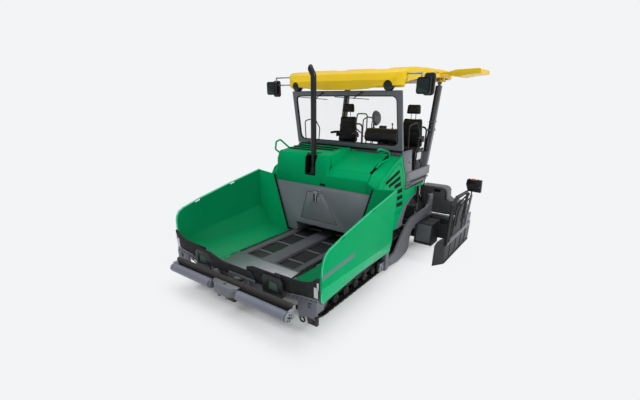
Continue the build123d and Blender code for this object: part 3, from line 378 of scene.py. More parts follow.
# %% Bent tube
def bent_tube(bm, points, radius, bend, sides, steps):
    """A round tube through the points, spun round each corner with one bend radius."""
    points = [Vector(p) for p in points]
    along = (points[1] - points[0]).normalized()
    turn = along.to_track_quat("Z", "Y").to_matrix().to_4x4()
    ring = bmesh.ops.create_circle(bm, cap_ends=False, segments=sides, radius=radius,
                                   matrix=Matrix.Translation(points[0]) @ turn)["verts"]
    edges = list({e for v in ring for e in v.link_edges})
    first = list(edges)
    here = points[0].copy()
    for i in range(1, len(points)):
        target = points[i]
        cut = 0.0
        if i < len(points) - 1:
            after = (points[i + 1] - points[i]).normalized()
            angle = along.angle(after)
            cut = bend * math.tan(angle / 2)
        stop = target - along * cut
        out = bmesh.ops.extrude_edge_only(bm, edges=edges)
        edges = [g for g in out["geom"] if isinstance(g, bmesh.types.BMEdge)
                 and all(v in out["geom"] for v in g.verts)]
        bmesh.ops.translate(bm, verts=list({v for e in edges for v in e.verts}), vec=stop - here)
        here = stop
        if cut:
            axis = along.cross(after).normalized()
            centre = here + axis.cross(along).normalized() * bend
            out = bmesh.ops.spin(bm, geom=edges, cent=centre, axis=axis, dvec=(0, 0, 0),
                                 angle=angle, steps=steps, use_duplicate=False)
            edges = [g for g in out["geom_last"] if isinstance(g, bmesh.types.BMEdge)]
            here = points[i] + after * cut
            along = after
    bmesh.ops.contextual_create(bm, geom=edges)
    bmesh.ops.contextual_create(bm, geom=first)


# %% [markdown]
# Folded and cut steel never has a knife edge, and it is the thin light along a rounded edge that
# makes it read as steel. `round_edges` bevels every edge sharper than 30 degrees.
#
# A wide flat face must stay flat: averaged with the strip of a rounded edge beside it, its shading
# would drift from one side to the other. So a face is smooth only where a neighbour of a like size
# turns away from it gently, as round a tube or along a rounded edge.

# %% Rounded edges and finished pieces
SHARP = math.radians(30)


def round_edges(bm, width, segments):
    edges = [e for e in bm.edges if len(e.link_faces) == 2
             and e.calc_face_angle(0.0) > SHARP]
    bmesh.ops.bevel(bm, geom=edges, offset=width, offset_type="OFFSET", segments=segments,
                    profile=0.5, affect="EDGES", clamp_overlap=True, material=-1)


def shade_faces(bm, gentle):
    """Smooth where a face has a neighbour of a like size at a gentle angle, flat elsewhere."""
    areas = {face: face.calc_area() for face in bm.faces}
    for face in bm.faces:
        face.smooth = False
        for edge in face.edges:
            for other in edge.link_faces:
                if other is not face and areas[other] > 0.05 * areas[face] \
                        and math.radians(0.5) < edge.calc_face_angle(0.0) < math.radians(gentle):
                    face.smooth = True


def piece(name, bm, finish, body, width=0.0, segments=2, smooth=32.0,
          turn_out=True, gentle=None):
    """Makes the mesh a piece that rides on a body. turn_out: faces are first made to point outwards."""
    if turn_out:
        bmesh.ops.recalc_face_normals(bm, faces=bm.faces)
    if width:
        round_edges(bm, width, segments)
    mesh = bpy.data.meshes.new(name)
    shade_faces(bm, gentle or smooth)
    bm.to_mesh(mesh)
    bm.free()
    mesh.set_sharp_from_angle(angle=math.radians(smooth))
    made = bpy.data.objects.new(name, mesh)
    bpy.context.scene.collection.objects.link(made)
    for one in finish if isinstance(finish, (list, tuple)) else [finish]:
        mesh.materials.append(one)
    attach(made, body)
    return made


# %% [markdown]
# A solid whose shape is right is copied, its loose triangles are joined and its edges rounded, and
# the copy stands in for the solid. Only the pane of glass keeps its solid and gets just a finish.

# %% Solids with rounded edges
def soften(node, finish, width, segments=2, parts=(), gentle=None):
    """A copy of a solid with its edges rounded. parts: (finish, test on a face's middle and normal)."""
    source = frame["nodes"][node]
    bm = bmesh.new()
    bm.from_mesh(source.data)
    bmesh.ops.remove_doubles(bm, verts=bm.verts, dist=0.00005)
    bmesh.ops.dissolve_limit(bm, angle_limit=math.radians(1.0), verts=bm.verts, edges=bm.edges)
    edges = [e for e in bm.edges if len(e.link_faces) == 2 and e.calc_length() > width * 2.2
             and e.calc_face_angle(0.0) > SHARP]
    if edges and width:
        bmesh.ops.bevel(bm, geom=edges, offset=width, offset_type="OFFSET", segments=segments,
                        profile=0.5, affect="EDGES", clamp_overlap=False, material=-1)
    for number, (_, test) in enumerate(parts, start=1):
        for face in bm.faces:
            if test(face.calc_center_median(), face.normal):
                face.material_index = number
    made = piece(f"{node}_shell", bm, [finish, *(other for other, _ in parts)],
                 source["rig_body"], turn_out=False, gentle=gentle)
    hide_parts(node)
    return made


def dress(node, finish):
    """Gives a solid a finish."""
    mesh = frame["nodes"][node].data
    mesh.materials.clear()
    mesh.materials.append(finish)


# %% [markdown]
# ## Chassis and tracks
#
# The chassis is flame-cut plate, so its solids need only their edges rounded. A track is another
# matter: it is a chain of steel links with a rubber pad bolted to each shoe. The same small box is
# set down once for every pitch of the loop, which keeps the 48 pads of a track light. The loop runs
# along the ground, round the sprocket, back along the top and round the idler.

# %% Frame, engine and the beams inside the tracks
for node, finish in {"main_frame": FRAME_GREY, "engine_block": IRON, "fuel_tank": BLACK_PLASTIC,
                     "track_frames": BLACK_METAL}.items():
    soften(node, finish, 0.005)
print("chassis rounded")

# %% The track's loop
IDLER, SPROCKET = (-1.985, 0.235), (0.880, 0.290)      # y and z of the middle; z is the radius too
TRACK_X = (0.965, 1.270)
PAD_PITCH = 0.154


def track_places(inset, pitch):
    """Middles of the shoes round the loop, (y, z, angle that faces outward)."""
    (y0, z0), (y1, z1) = IDLER, SPROCKET
    r0, r1 = z0 - inset, z1 - inset
    apart = math.hypot(y1 - y0, z1 - z0)
    slope = math.atan2(z1 - z0, y1 - y0)
    lean = math.acos((r0 - r1) / apart)
    run = apart * math.sin(lean)
    legs = (run, r1 * 2 * lean, run, r0 * (math.tau - 2 * lean))
    count = round(sum(legs) / pitch)
    places = []
    for number in range(count):
        along = (number + 0.5) * sum(legs) / count
        leg = 0
        while along > legs[leg]:
            along -= legs[leg]
            leg += 1
        share = along / legs[leg]
        if leg % 2:
            y, z, r = (y1, z1, r1) if leg == 1 else (y0, z0, r0)
            angle = slope - lean + 2 * lean * share if leg == 1 else \
                slope + lean + (math.tau - 2 * lean) * share
        else:
            angle = slope - lean if leg == 0 else slope + lean
            share = share if leg == 0 else 1 - share
            y, z, r = y0 + (y1 - y0) * share, z0 + (z1 - z0) * share, r0 + (r1 - r0) * share
        places.append((y + r * math.cos(angle), z + r * math.sin(angle), angle))
    return places


def shoe_box(bm, x0, x1, length, thick, place):
    """A box across the track, its outer face at the place, its length along the loop."""
    y, z, angle = place
    turn = Matrix.Rotation(angle - math.pi / 2, 4, "X")
    spot = Matrix.Translation((0, y, z)) @ turn @ Matrix.Translation(((x0 + x1) / 2, 0, -thick / 2))
    return bmesh.ops.create_cube(bm, size=1.0, matrix=spot @ Matrix.Diagonal((x1 - x0, length, thick, 1.0)))


# %% Pads, shoes and links
for side, name in SIDES:
    x0, x1 = sorted((side * TRACK_X[0], side * TRACK_X[1]))
    bm = bmesh.new()
    for place in track_places(0.001, PAD_PITCH):
        shoe_box(bm, x0, x1, 0.126, 0.026, place)
    for vert in bm.verts:
        vert.co.z = max(vert.co.z, 0.0005)      # rubber lies flat on the ground
    piece(f"track_pads_{name}", bm, TRACK_RUBBER, "tractor", width=0.006, segments=1)
    bm = bmesh.new()
    for place in track_places(0.027, PAD_PITCH):
        shoe_box(bm, x0 + 0.006, x1 - 0.006, 0.136, 0.008, place)
    middle = (x0 + x1) / 2
    for place in track_places(0.035, PAD_PITCH / 2):
        for shift in (-0.055, 0.055):
            shoe_box(bm, middle + shift - 0.014, middle + shift + 0.014, 0.07, 0.03, place)
    piece(f"track_links_{name}", bm, IRON, "tractor")
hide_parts("tracks")
print("pads per track:", len(track_places(0.0, PAD_PITCH)))

# %% Sprocket teeth, idler hub and roller ends
TEETH, TOOTH_CIRCLE = 16, 0.235
ROLLERS, ROLLER_FIRST, ROLLER_PITCH, ROLLER_Z = 7, -1.600, 0.330, 0.128
for side, name in SIDES:
    bm = bmesh.new()
    for number in range(TEETH):
        angle = math.tau * number / TEETH
        y, z = SPROCKET[0] + TOOTH_CIRCLE * math.cos(angle), SPROCKET[1] + TOOTH_CIRCLE * math.sin(angle)
        for shift in (1.085, 1.135):
            bar(bm, (side * (shift - 0.012), y, z), (side * (shift + 0.012), y, z), 0.02, 8)
    for y, z, r in ((*SPROCKET, 0.15), (*IDLER, 0.09)):
        bar(bm, (side * 1.225, y, z), (side * 1.248, y, z), r, 40, r * 0.94)
        bar(bm, (side * 1.248, y, z), (side * 1.256, y, z), r * 0.55, 32, r * 0.5)
        for number in range(12):
            angle = math.tau * number / 12
            at = (y + r * 0.78 * math.cos(angle), z + r * 0.78 * math.sin(angle))
            bar(bm, (side * 1.246, *at), (side * 1.258, *at), 0.009, 6)
    piece(f"track_hubs_{name}", bm, FRAME_GREY, "tractor", width=0.0015, segments=1)
    bm = bmesh.new()
    for number in range(ROLLERS):
        y = ROLLER_FIRST + number * ROLLER_PITCH
        bar(bm, (side * 1.236, y, ROLLER_Z), (side * 1.244, y, ROLLER_Z), 0.045, 24, 0.04)
        bar(bm, (side * 1.244, y, ROLLER_Z), (side * 1.252, y, ROLLER_Z), 0.014, 6)
    piece(f"roller_caps_{name}", bm, BLACK_METAL, "tractor")
print("hubs on both tracks")

# %% [markdown]
# ## Feeding floor
#
# Two chains of cross bars drag the asphalt through the tunnel. Seen from above they are black
# bands with a bar every half metre, between dull steel guards. The bands and bars are the solids;
# the chain side plates and their rollers are added along the top run.

# %% Conveyors and guards
soften("slat_conveyors", BLACK_METAL, 0.003, parts=[
    (ARM_GREY, lambda middle, normal: middle.z > 0.577)])
soften("conveyor_guards", GUARD_GREY, 0.004, parts=[
    (GALVANISED, lambda middle, normal: middle.y < -1.92 and normal.z > 0.3)])
CONVEYOR_TOP = 0.575
BAR_Y, BAR_PITCH = -1.600, 0.515
CHAIN_X, CHAIN_PITCH, CHAIN_START, CHAIN_END = (-0.555, -0.185, 0.185, 0.555), 0.075, -1.84, 1.46
bm = bmesh.new()
for x in CHAIN_X:
    for number in range(44):
        y = CHAIN_START + number * CHAIN_PITCH
        # a link is left out where a cross bar lies on the chain
        from_bar = abs((y + CHAIN_PITCH / 2 - BAR_Y + BAR_PITCH / 2) % BAR_PITCH - BAR_PITCH / 2)
        if y < CHAIN_END and from_bar > 0.055:
            box_at(bm, (x - 0.012, y, CONVEYOR_TOP), (x + 0.012, y + 0.055, CONVEYOR_TOP + 0.012))
            pin_y, pin_z = y + 0.065, CONVEYOR_TOP + 0.004
            bar(bm, (x - 0.018, pin_y, pin_z), (x + 0.018, pin_y, pin_z), 0.008, 6)
piece("conveyor_chains", bm, IRON, "tractor")
# rubber strips that close the gap between the guards and the wings
bm = bmesh.new()
for side, _ in SIDES:
    side_box(bm, side, (0.70, -1.93, 0.6135), (0.745, -0.43, 0.6185))
piece("guard_seals", bm, RUBBER, "tractor")
print("conveyor bars and chains laid")

# %% [markdown]
# ## Hopper
#
# Each wing is one folded sheet: a floor, an outer wall with a crease near its foot, a rear panel
# and a sloping band that keeps asphalt out of the corner. The solid has that shape, so a copy of it
# with rounded edges is the wing. The rim gets a round bar in a lighter green, a painted highlight, and
# four lengths of belting hang behind the inner edge of the rear panel, where they wipe the fixed wall.
# The floor, the inside and the faces turned down get darker greens, painted shade, and the wall below
# the crease a lighter, glossier green, a painted sheen of the ground's light.

# %% Back wall with its hatch and latch
soften("back_wall", WALL_GREY, 0.003)
soften("wall_hatch", WALL_GREY, 0.003, parts=[
    (WORN_GREY, lambda middle, normal: middle.y < -0.3955)])
WALL_FACE, LATCH_FACE = -0.395, -0.409
bm = bmesh.new()
# dark frame of the latch: the bolted side bar, the two sides of the tongue's slot and the top bar
for x0, x1, z0, z1 in ((-0.045, -0.004, 1.455, 1.572), (-0.145, -0.108, 1.345, 1.500),
                       (-0.080, -0.052, 1.345, 1.475), (-0.145, -0.045, 1.562, 1.577)):
    box_at(bm, (x0, LATCH_FACE - 0.0008, z0), (x1, LATCH_FACE + 0.001, z1))
piece("latch_frame", bm, BLACK_METAL, "tractor")
bm = bmesh.new()
box_at(bm, (-0.104, LATCH_FACE - 0.0015, 1.350), (-0.084, LATCH_FACE + 0.001, 1.480))
for z in (1.485, 1.540):
    bar(bm, (-0.024, LATCH_FACE + 0.001, z), (-0.024, LATCH_FACE - 0.0015, z), 0.011, 6)
piece("latch_tongue", bm, WHITE_PLATE, "tractor")
# rolled edge along the wall's top, and the hatch's dark seam
bm = bmesh.new()
bar(bm, (-1.215, WALL_FACE + 0.001, 1.657), (1.215, WALL_FACE + 0.001, 1.657), 0.0045, 8)
piece("wall_top_edge", bm, LIGHT_GREY, "tractor")
bm = bmesh.new()
SEAM = ((-0.3085, 1.5285), (-0.4875, 0.9415), (0.4275, 0.9415), (0.0685, 1.5285))     # x, z
for (xa, za), (xb, zb) in zip(SEAM, SEAM[1:] + SEAM[:1]):
    bar(bm, (xa, WALL_FACE + 0.001, za), (xb, WALL_FACE + 0.001, zb), 0.0035, 6)
piece("hatch_seam", bm, BLACK_METAL, "tractor")
print("back wall and hatch")

# %% Wings
WING_WALL = 1.635          # outer face of the wall
for side, name in SIDES:
    soften(f"wing_{name}", GREEN, 0.004, gentle=5.0, parts=[
        # the wing's floor is a darker green, painted shade
        (GREEN_FLOOR_PAINTED_SHADE, lambda middle, normal: normal.z > 0.9 and middle.z < 0.72),
        # below its crease the wall leans in; a lighter, glossier green is painted on it as the sheen of the
        # ground's light
        (GREEN_PAINTED_SHEEN, lambda middle, normal, side=side: normal.x * side > 0.5 and -0.3 < normal.z < -0.08),
        # the inside of the wall is a darker green, painted shade
        (GREEN_INSIDE_PAINTED_SHADE, lambda middle, normal, side=side: normal.x * side < -0.2 and middle.z > 0.6),
        # faces turned down near the floor are a darker green, painted shade
        (GREEN_UNDER_PAINTED_SHADE, lambda middle, normal: normal.z < -0.7 and middle.z < 0.72)])
    soften(f"wing_apron_{name}", RUBBER, 0.004)
print("wings and their aprons")

# %% Belting behind the rear panels
SEAL_FOOT, SEAL_TOP = (0.868, 0.63), (1.203, 1.775)      # x, z of the panel's inner edge
SEAL_OUT = 0.042                                         # how far the strip shows past the edge
for side, name in SIDES:
    (x0, z0), (x1, z1) = SEAL_FOOT, SEAL_TOP
    bm = bmesh.new()
    # four lengths butted together, so the inner edge has notches
    for number in range(4):
        low, high = number / 4 + 0.004, (number + 1) / 4 - 0.004
        corners = [(x0 + (x1 - x0) * share + shift, z0 + (z1 - z0) * share)
                   for share, shift in ((low, -SEAL_OUT), (high, -SEAL_OUT), (high, 0.03), (low, 0.03))]
        prism(bm, [(side * x, z) for x, z in corners], "Y", -0.4145, -0.4105)
    piece(f"wing_seal_{name}", bm, RUBBER, f"wing_{name}")
print("belting on both wings")

# %% Stripe and rim
RIM = ((-2.49, 0.62), (-2.545, 0.67), (-2.566, 0.765), (-2.568, 1.10), (-2.560, 1.205), (-2.533, 1.292),
       (-2.48, 1.363), (-2.395, 1.408), (-1.998, 1.512), (-1.368, 1.647), (-0.43, 1.822))     # y, z
RIM_IN = 0.009                             # the rim bar's middle lies this far inside the wall's face
CREASE_Z, CREASE_SLOPE = 0.875, 0.124      # below the crease the wall leans in
for side, name in SIDES:
    bm = bmesh.new()
    outline = ((-2.56, 1.000), (-1.73, 1.072), (-1.73, 1.150), (-2.56, 1.078))
    prism(bm, outline, "X", side * (WING_WALL + 0.0003), side * (WING_WALL + 0.0013))
    piece(f"wing_stripe_{name}", bm, STRIPE, f"wing_{name}")
    bm = bmesh.new()
    # the rim bar is a lighter green, a painted highlight along the wing's edge
    points = [(side * (WING_WALL - RIM_IN - max(0.0, CREASE_Z - z) * CREASE_SLOPE), y, z) for y, z in RIM]
    bent_tube(bm, points, 0.0125, 0.02, 8, 2)
    piece(f"wing_rim_{name}", bm, GREEN_PAINTED_HIGHLIGHT, f"wing_{name}")
print("rims on")

# %% [markdown]
# ## Aprons and push rollers
#
# The aprons are rubber sheet, and a steel strip clamps the middle one along its foot. The push rollers
# turn on plain shafts, so each keeps its tube and gains two end caps that turn with it.

# %% Aprons, hinge housings and foot plates
soften("centre_apron", RUBBER, 0.004)
soften("wing_supports", FRAME_GREY, 0.004, parts=[
    (BLACK_METAL, lambda middle, normal: middle.y < -2.63 and middle.z > 0.55
     and 0.59 < abs(middle.x) < 1.01)])
bm = bmesh.new()
box_at(bm, (-0.13, -2.6985, 0.652), (0.46, -2.6905, 0.700))
for number in range(6):
    x = -0.09 + number * 0.10
    bar(bm, (x, -2.698, 0.676), (x, -2.704, 0.676), 0.008, 6)
piece("apron_foot_bar", bm, FRAME_GREY, "tractor", width=0.001, segments=1)
bm = bmesh.new()
for side, _ in SIDES:
    prism(bm, [(side * x, z) for x, z in ((0.724, 0.645), (0.743, 0.775), (0.897, 0.775), (0.916, 0.645))],
          "Y", -2.6735, -2.6705)
piece("hinge_windows", bm, GREY_GREEN, "tractor")
for side, name in SIDES:
    soften(f"wing_foot_plate_{name}", FRAME_GREY, 0.004, parts=[
        (BLACK_METAL, lambda middle, normal, side=side: middle.z < 0.441 and middle.x * side > 1.438)])
    bm = bmesh.new()
    for number in range(7):
        x = 1.08 + number * 0.083
        z = 0.615 + (x - 1.03) * 0.16
        bar(bm, (side * x, -2.629, z), (side * x, -2.6345, z), 0.009, 6)
    piece(f"foot_bolts_{name}", bm, BLACK_METAL, f"wing_{name}")
    # clamping plates at the corner of the rubber
    bm = bmesh.new()
    for x0, x1, z0, z1 in ((1.535, 1.600, 0.745, 0.905), (1.585, 1.612, 0.880, 0.985)):
        side_box(bm, side, (x0, -2.6245, z0), (x1, -2.6195, z1))
    piece(f"corner_clamps_{name}", bm, WHITE_PLATE, f"wing_{name}", width=0.001, segments=1)
    # ring under the corner bracket
    bm = bmesh.new()
    ring = [(side * (1.335 + 0.042 * math.cos(a)), -2.633, 0.325 + 0.042 * math.sin(a))
            for a in (math.tau * k / 12 for k in range(13))]
    bent_tube(bm, ring, 0.014, 0.03, 8, 2)
    piece(f"corner_ring_{name}", bm, BLACK_METAL, f"wing_{name}")
print("aprons")

# %% Push beam and rollers
ROLLER_AXIS, ROLLER_END, BEAM_END = (-2.925, 0.5), 1.300, 1.340      # y and z, x, x
soften("push_beam", BEAM_BROWN, 0.004, parts=[
    (BLACK_METAL, lambda middle, normal: middle.z < 0.431 and middle.y < -2.89 and abs(middle.x) < 0.2),
    (BLACK_METAL, lambda middle, normal: 0.284 < abs(middle.x) < 0.312 and middle.y < -2.85),
    (FRAME_GREY, lambda middle, normal: middle.y < -2.90 and abs(middle.x) < 0.30),
    (LIGHT_GREY, lambda middle, normal: abs(middle.x) > 1.305 and middle.y < -2.83)])
bm = bmesh.new()
for side, _ in SIDES:
    y, z = ROLLER_AXIS
    for number in range(6):
        angle = math.tau * (number + 0.5) / 6
        at = (y + 0.050 * math.cos(angle), z + 0.050 * math.sin(angle))
        bar(bm, (side * (BEAM_END - 0.002), *at), (side * (BEAM_END + 0.008), *at), 0.010, 6)
    bar(bm, (side * (BEAM_END - 0.002), y, z), (side * (BEAM_END + 0.010), y, z), 0.022, 20, 0.018)
piece("beam_end_bolts", bm, BLACK_METAL, "push_beam")
bm = bmesh.new()
# a black disc, painted shade for the hole in the beam's nose
bar(bm, (0, -2.900, 0.583), (0, -2.900, 0.5865), 0.022, 24)
piece("nose_hole_painted_shade", bm, BLACK_METAL, "push_beam")
for side, name in SIDES:
    soften(f"push_roller_{name}", ROLLER_GREY, 0.004)
    bm = bmesh.new()
    y, z = ROLLER_AXIS
    for x, out in ((0.321, -1), (ROLLER_END - 0.001, 1)):
        bar(bm, (side * x, y, z), (side * (x + out * 0.006), y, z), 0.060, 32, 0.056)
    piece(f"push_roller_caps_{name}", bm, DARK_GREY, f"push_roller_{name}")
print("push rollers")

# %% [markdown]
# ## Engine bonnet and sides
#
# The bonnet is a pressed cover in two halves: a raised, louvred half and a lower half that drops away
# to the machine's left. Its louvres are folded tongues, so each is a thin wedge with a slit under its lip
# painted black as shade, and a painted shadow on the lid ahead of it. The lid meets the front along a
# seam, and a thin lip covers it. The handles are bent tube.

# %% Bonnet shells
for node, width in (("bonnet_front", 0.006), ("bonnet_lid", 0.006), ("body_sides", 0.003)):
    soften(node, GREEN, width, segments=3, gentle=12.0)
for node in ("side_door_left", "side_door_right"):
    # the blades and the walls of the vents are near-black, painted shade for the vents' depth
    soften(node, GREEN, 0.003, segments=2, gentle=5.0, parts=[
        (PAINTED_SHADE_BLACK, lambda middle, normal: 1.2555 < abs(middle.x) < 1.2735)])
soften("fenders", FRAME_GREY, 0.003)
print("green shells rounded")

# %% Louvres on the raised half
LID_FRONT, LID_REAR = (-0.255, 2.258), (0.462, 2.330)     # y, z of the raised top
LID_SLOPE = (LID_REAR[1] - LID_FRONT[1]) / (LID_REAR[0] - LID_FRONT[0])


def lid_top(y):
    return LID_FRONT[1] + LID_SLOPE * (y - LID_FRONT[0])


louvres, louvre_shade = bmesh.new(), bmesh.new()
for y0, x0, x1 in ((-0.06, -1.06, -0.42), (0.10, -1.06, -0.02), (0.26, -1.06, -0.02)):
    y1, z0 = y0 + 0.13, lid_top(y0)
    prism(louvres, ((y0, z0 + 0.026), (y0 + 0.012, z0 + 0.031), (y1, lid_top(y1) + 0.002),
                    (y1, lid_top(y1) - 0.004), (y0 + 0.02, z0 + 0.020)), "X", x0, x1)
    # the slit under the lip, painted black as shade
    prism(louvre_shade, ((y0 + 0.010, z0), (y0 + 0.010, z0 + 0.021), (y0 + 0.03, z0 + 0.021), (y0 + 0.03, z0)),
          "X", x0 + 0.004, x1 - 0.004)
    # painted shadow: a dark strip on the lid, ahead of the slit
    ahead, under = y0 - 0.022, y0 + 0.012
    prism(louvre_shade, ((ahead, lid_top(ahead) + 0.0006), (ahead, lid_top(ahead) + 0.0016),
                  (under, lid_top(under) + 0.0016), (under, lid_top(under) + 0.0006)),
          "X", x0 + 0.004, x1 - 0.004)
piece("bonnet_louvres", louvres, GREEN, "bonnet_lid", width=0.002, segments=1)
piece("bonnet_louvre_painted_shade", louvre_shade, BLACK_PLASTIC, "bonnet_lid")
print("three rows of louvres")

# %% Lips over the lid's front seam, and painted shade in the handle recess at the bonnet's foot
bm = bmesh.new()
prism(bm, ((-0.269, 2.0112), (-0.2625, 2.0195), (-0.255, 2.0278), (-0.243, 2.0322), (-0.243, 2.0300),
           (-0.254, 2.0258), (-0.2615, 2.0178), (-0.268, 2.0102)), "X", 0.156, 0.996)
for x0, x1 in ((-1.106, -0.395), (-0.115, 0.146)):
    prism(bm, ((-0.270, 2.2556), (-0.2625, 2.2572), (-0.255, 2.2596), (-0.243, 2.2608), (-0.243, 2.2586),
               (-0.254, 2.2574), (-0.2615, 2.2554), (-0.269, 2.2546)), "X", x0, x1)
piece("lid_lip", bm, GREEN, "bonnet_lid")
bm = bmesh.new()
# a near-black patch, painted shade for the handle recess
box_at(bm, (0.004, -0.3946, 1.680), (0.132, -0.3925, 1.728))
piece("handle_recess_painted_shade", bm, PAINTED_SHADE_BLACK, "tractor", width=0.0008, segments=1)
print("seam covered")

# %% Exhaust in its well
WELL_X, WELL_Y, WELL_FLOOR, WELL_TOP, SHEET = (-0.388, -0.122), (-0.350, -0.130), 1.876, 2.20, 0.004
PIPE_FOOT = (-0.255, -0.250)               # x, y
soften("exhaust", BLACK_METAL, 0.002)
bm = bmesh.new()
# dark lining of the well: floor and three sides
box_at(bm, (WELL_X[0], -0.352, 1.868), (WELL_X[1], WELL_Y[1], WELL_FLOOR))
box_at(bm, (WELL_X[0], WELL_Y[0], WELL_FLOOR), (WELL_X[0] + SHEET, WELL_Y[1], WELL_TOP))
box_at(bm, (WELL_X[1] - SHEET, WELL_Y[0], WELL_FLOOR), (WELL_X[1], WELL_Y[1], WELL_TOP))
box_at(bm, (WELL_X[0], WELL_Y[1] - SHEET, WELL_FLOOR), (WELL_X[1], WELL_Y[1], WELL_TOP))
# clamp round the pipe
bar(bm, (*PIPE_FOOT, WELL_FLOOR), (*PIPE_FOOT, 1.905), 0.085, 32)
bar(bm, (*PIPE_FOOT, 1.905), (*PIPE_FOOT, 1.99), 0.066, 32)
piece("exhaust_well", bm, BLACK_METAL, "tractor", width=0.002, segments=1)
print("exhaust in its well")

# %% Grab handles
HANDLES = {
    "right": ((-1.10, -0.22, 2.16), (-1.15, -0.24, 2.19), (-1.15, -0.38, 2.28), (-1.15, -0.35, 2.43),
              (-1.15, -0.22, 2.46), (-1.13, 0.07, 2.25), (-1.08, 0.08, 2.22)),
    "left": ((1.05, -0.09, 2.09), (1.08, 0.02, 2.17), (1.08, 0.41, 2.21), (1.08, 0.32, 2.34),
             (1.06, -0.02, 2.42), (1.06, -0.10, 2.40))}
for name, points in HANDLES.items():
    bm = bmesh.new()
    bent_tube(bm, points, 0.018, 0.04, 10, 5)
    piece(f"bonnet_handle_{name}", bm, GREEN, "tractor")
print("handles bent")

# %% Painted shade behind and round the vents, and screws along the doors
VENTS = (((-0.080, 1.815), (0.470, 1.945), (0.445, 1.995), (-0.100, 1.862)),      # corners as y, z
         ((0.060, 1.740), (0.535, 1.815), (0.510, 1.868), (0.040, 1.788)),
         ((0.320, 1.670), (0.590, 1.695), (0.565, 1.748), (0.295, 1.720)),
         ((0.480, 1.540), (0.680, 1.550), (0.660, 1.605), (0.462, 1.598)),
         ((0.480, 1.405), (0.715, 1.412), (0.697, 1.466), (0.462, 1.462)),
         ((0.480, 1.268), (0.735, 1.262), (0.717, 1.320), (0.462, 1.328)))
DOOR_SCREWS = ((0.552, 2.032), (0.612, 1.905), (0.668, 1.77), (0.705, 1.66), (0.735, 1.53), (0.752, 1.40),
               (0.762, 1.27))
DOOR_FACE = 1.274
for side, name in SIDES:
    bm = bmesh.new()
    # a dark plate behind the vents, painted shade
    x0, x1 = sorted((side * 1.256, side * 1.259))
    prism(bm, ((-0.13, 1.79), (-0.13, 1.88), (0.47, 2.02), (0.62, 1.72), (0.755, 1.25), (0.44, 1.24),
               (0.44, 1.62), (0.26, 1.66), (-0.02, 1.72)), "X", x0, x1)
    piece(f"vent_back_painted_shade_{name}", bm, PAINTED_SHADE_BLACK, f"side_door_{name}")
    # a black lip round each vent, painted shade that widens its opening
    bm = bmesh.new()
    for corners in VENTS:
        middle = Vector((sum(y for y, z in corners) / 4, sum(z for y, z in corners) / 4))
        outer = []
        for y, z in corners:
            out = Vector((y, z)) - middle
            outer.append((y + math.copysign(0.010, out.x), z + math.copysign(0.014, out.y)))
        for k in range(4):
            following = (k + 1) % 4
            prism(bm, (corners[k], corners[following], outer[following], outer[k]), "X",
                  *sorted((side * 1.2745, side * 1.2762)))
    piece(f"vent_lips_painted_shade_{name}", bm, PAINTED_SHADE_BLACK, f"side_door_{name}")
    bm = bmesh.new()
    for y, z in DOOR_SCREWS:
        bar(bm, (side * DOOR_FACE, y, z), (side * 1.2795, y, z), 0.008, 6)
    piece(f"door_screws_{name}", bm, BLACK_METAL, f"side_door_{name}")
    bm = bmesh.new()
    # flush turn latch
    bar(bm, (side * DOOR_FACE, 0.30, 1.30), (side * 1.281, 0.30, 1.30), 0.024, 24, 0.021)
    side_box(bm, side, (1.281, 0.294, 1.283), (1.286, 0.306, 1.317))
    piece(f"door_latch_{name}", bm, BLACK_PLASTIC, f"side_door_{name}",
          width=0.001, segments=1)
print("vents and latches")

# %% [markdown]
# ## Operator's stand
#
# The stand carries two seats, a console and tubular rails. The seats are the only soft things on the
# machine. A cushion starts as a cube cut into a fine grid. Its corners are drawn in to a radius, its
# face is crowned, its sides are pulled in between the corners, and a sewn channel is a shallow
# valley pressed across it. That is done by moving vertices, so it is the same at every run.

# %% A cushion
def cushion(name, low, high, crown=0.022, channels=(), face="z", taper=0.0, radius=0.045):
    """A padded block. face: the side that is crowned; channels: places of the valleys, -1 to 1."""
    low, high = Vector(low), Vector(high)
    middle, half = (low + high) / 2, (high - low) / 2
    bm = bmesh.new()
    bmesh.ops.create_cube(bm, size=2.0)
    bmesh.ops.subdivide_edges(bm, edges=bm.edges, cuts=23, use_grid_fill=True)
    out = {"z": 2, "-y": 1}[face]
    sign = -1 if face == "-y" else 1
    wide, tall = (0, 1) if out == 2 else (0, 2)
    for vert in bm.verts:
        unit = vert.co.copy()
        place = Vector([unit[i] * (half[i] - (0.0 if i == out else 0.004)) for i in range(3)])
        # round the corners
        core = Vector([max(-half[i] + radius, min(half[i] - radius, place[i])) for i in range(3)])
        away = place - core
        if away.length > radius:
            place = core + away.normalized() * radius
        u, v = unit[wide], unit[tall]
        dome = (1 - u ** 4) * (1 - v ** 4)
        if unit[out] * sign > 0.99:
            dip = sum(math.exp(-((v - at) / 0.055) ** 2) for at in channels)
            place[out] -= sign * crown * (1 - dome)
            place[out] -= sign * 0.011 * dip * (1 - u ** 6)
        elif abs(unit[out]) < 0.99:
            edge = wide if abs(u) > 0.99 else tall
            place[edge] *= 1 - 0.03 * (1 - unit[tall if edge == wide else wide] ** 2)
        if taper:
            place[0] *= 1 - taper * (unit[2] + 1) / 2
        vert.co = middle + place
    made = piece(name, bm, SEAT_BLACK, "tractor", smooth=60.0)
    return made


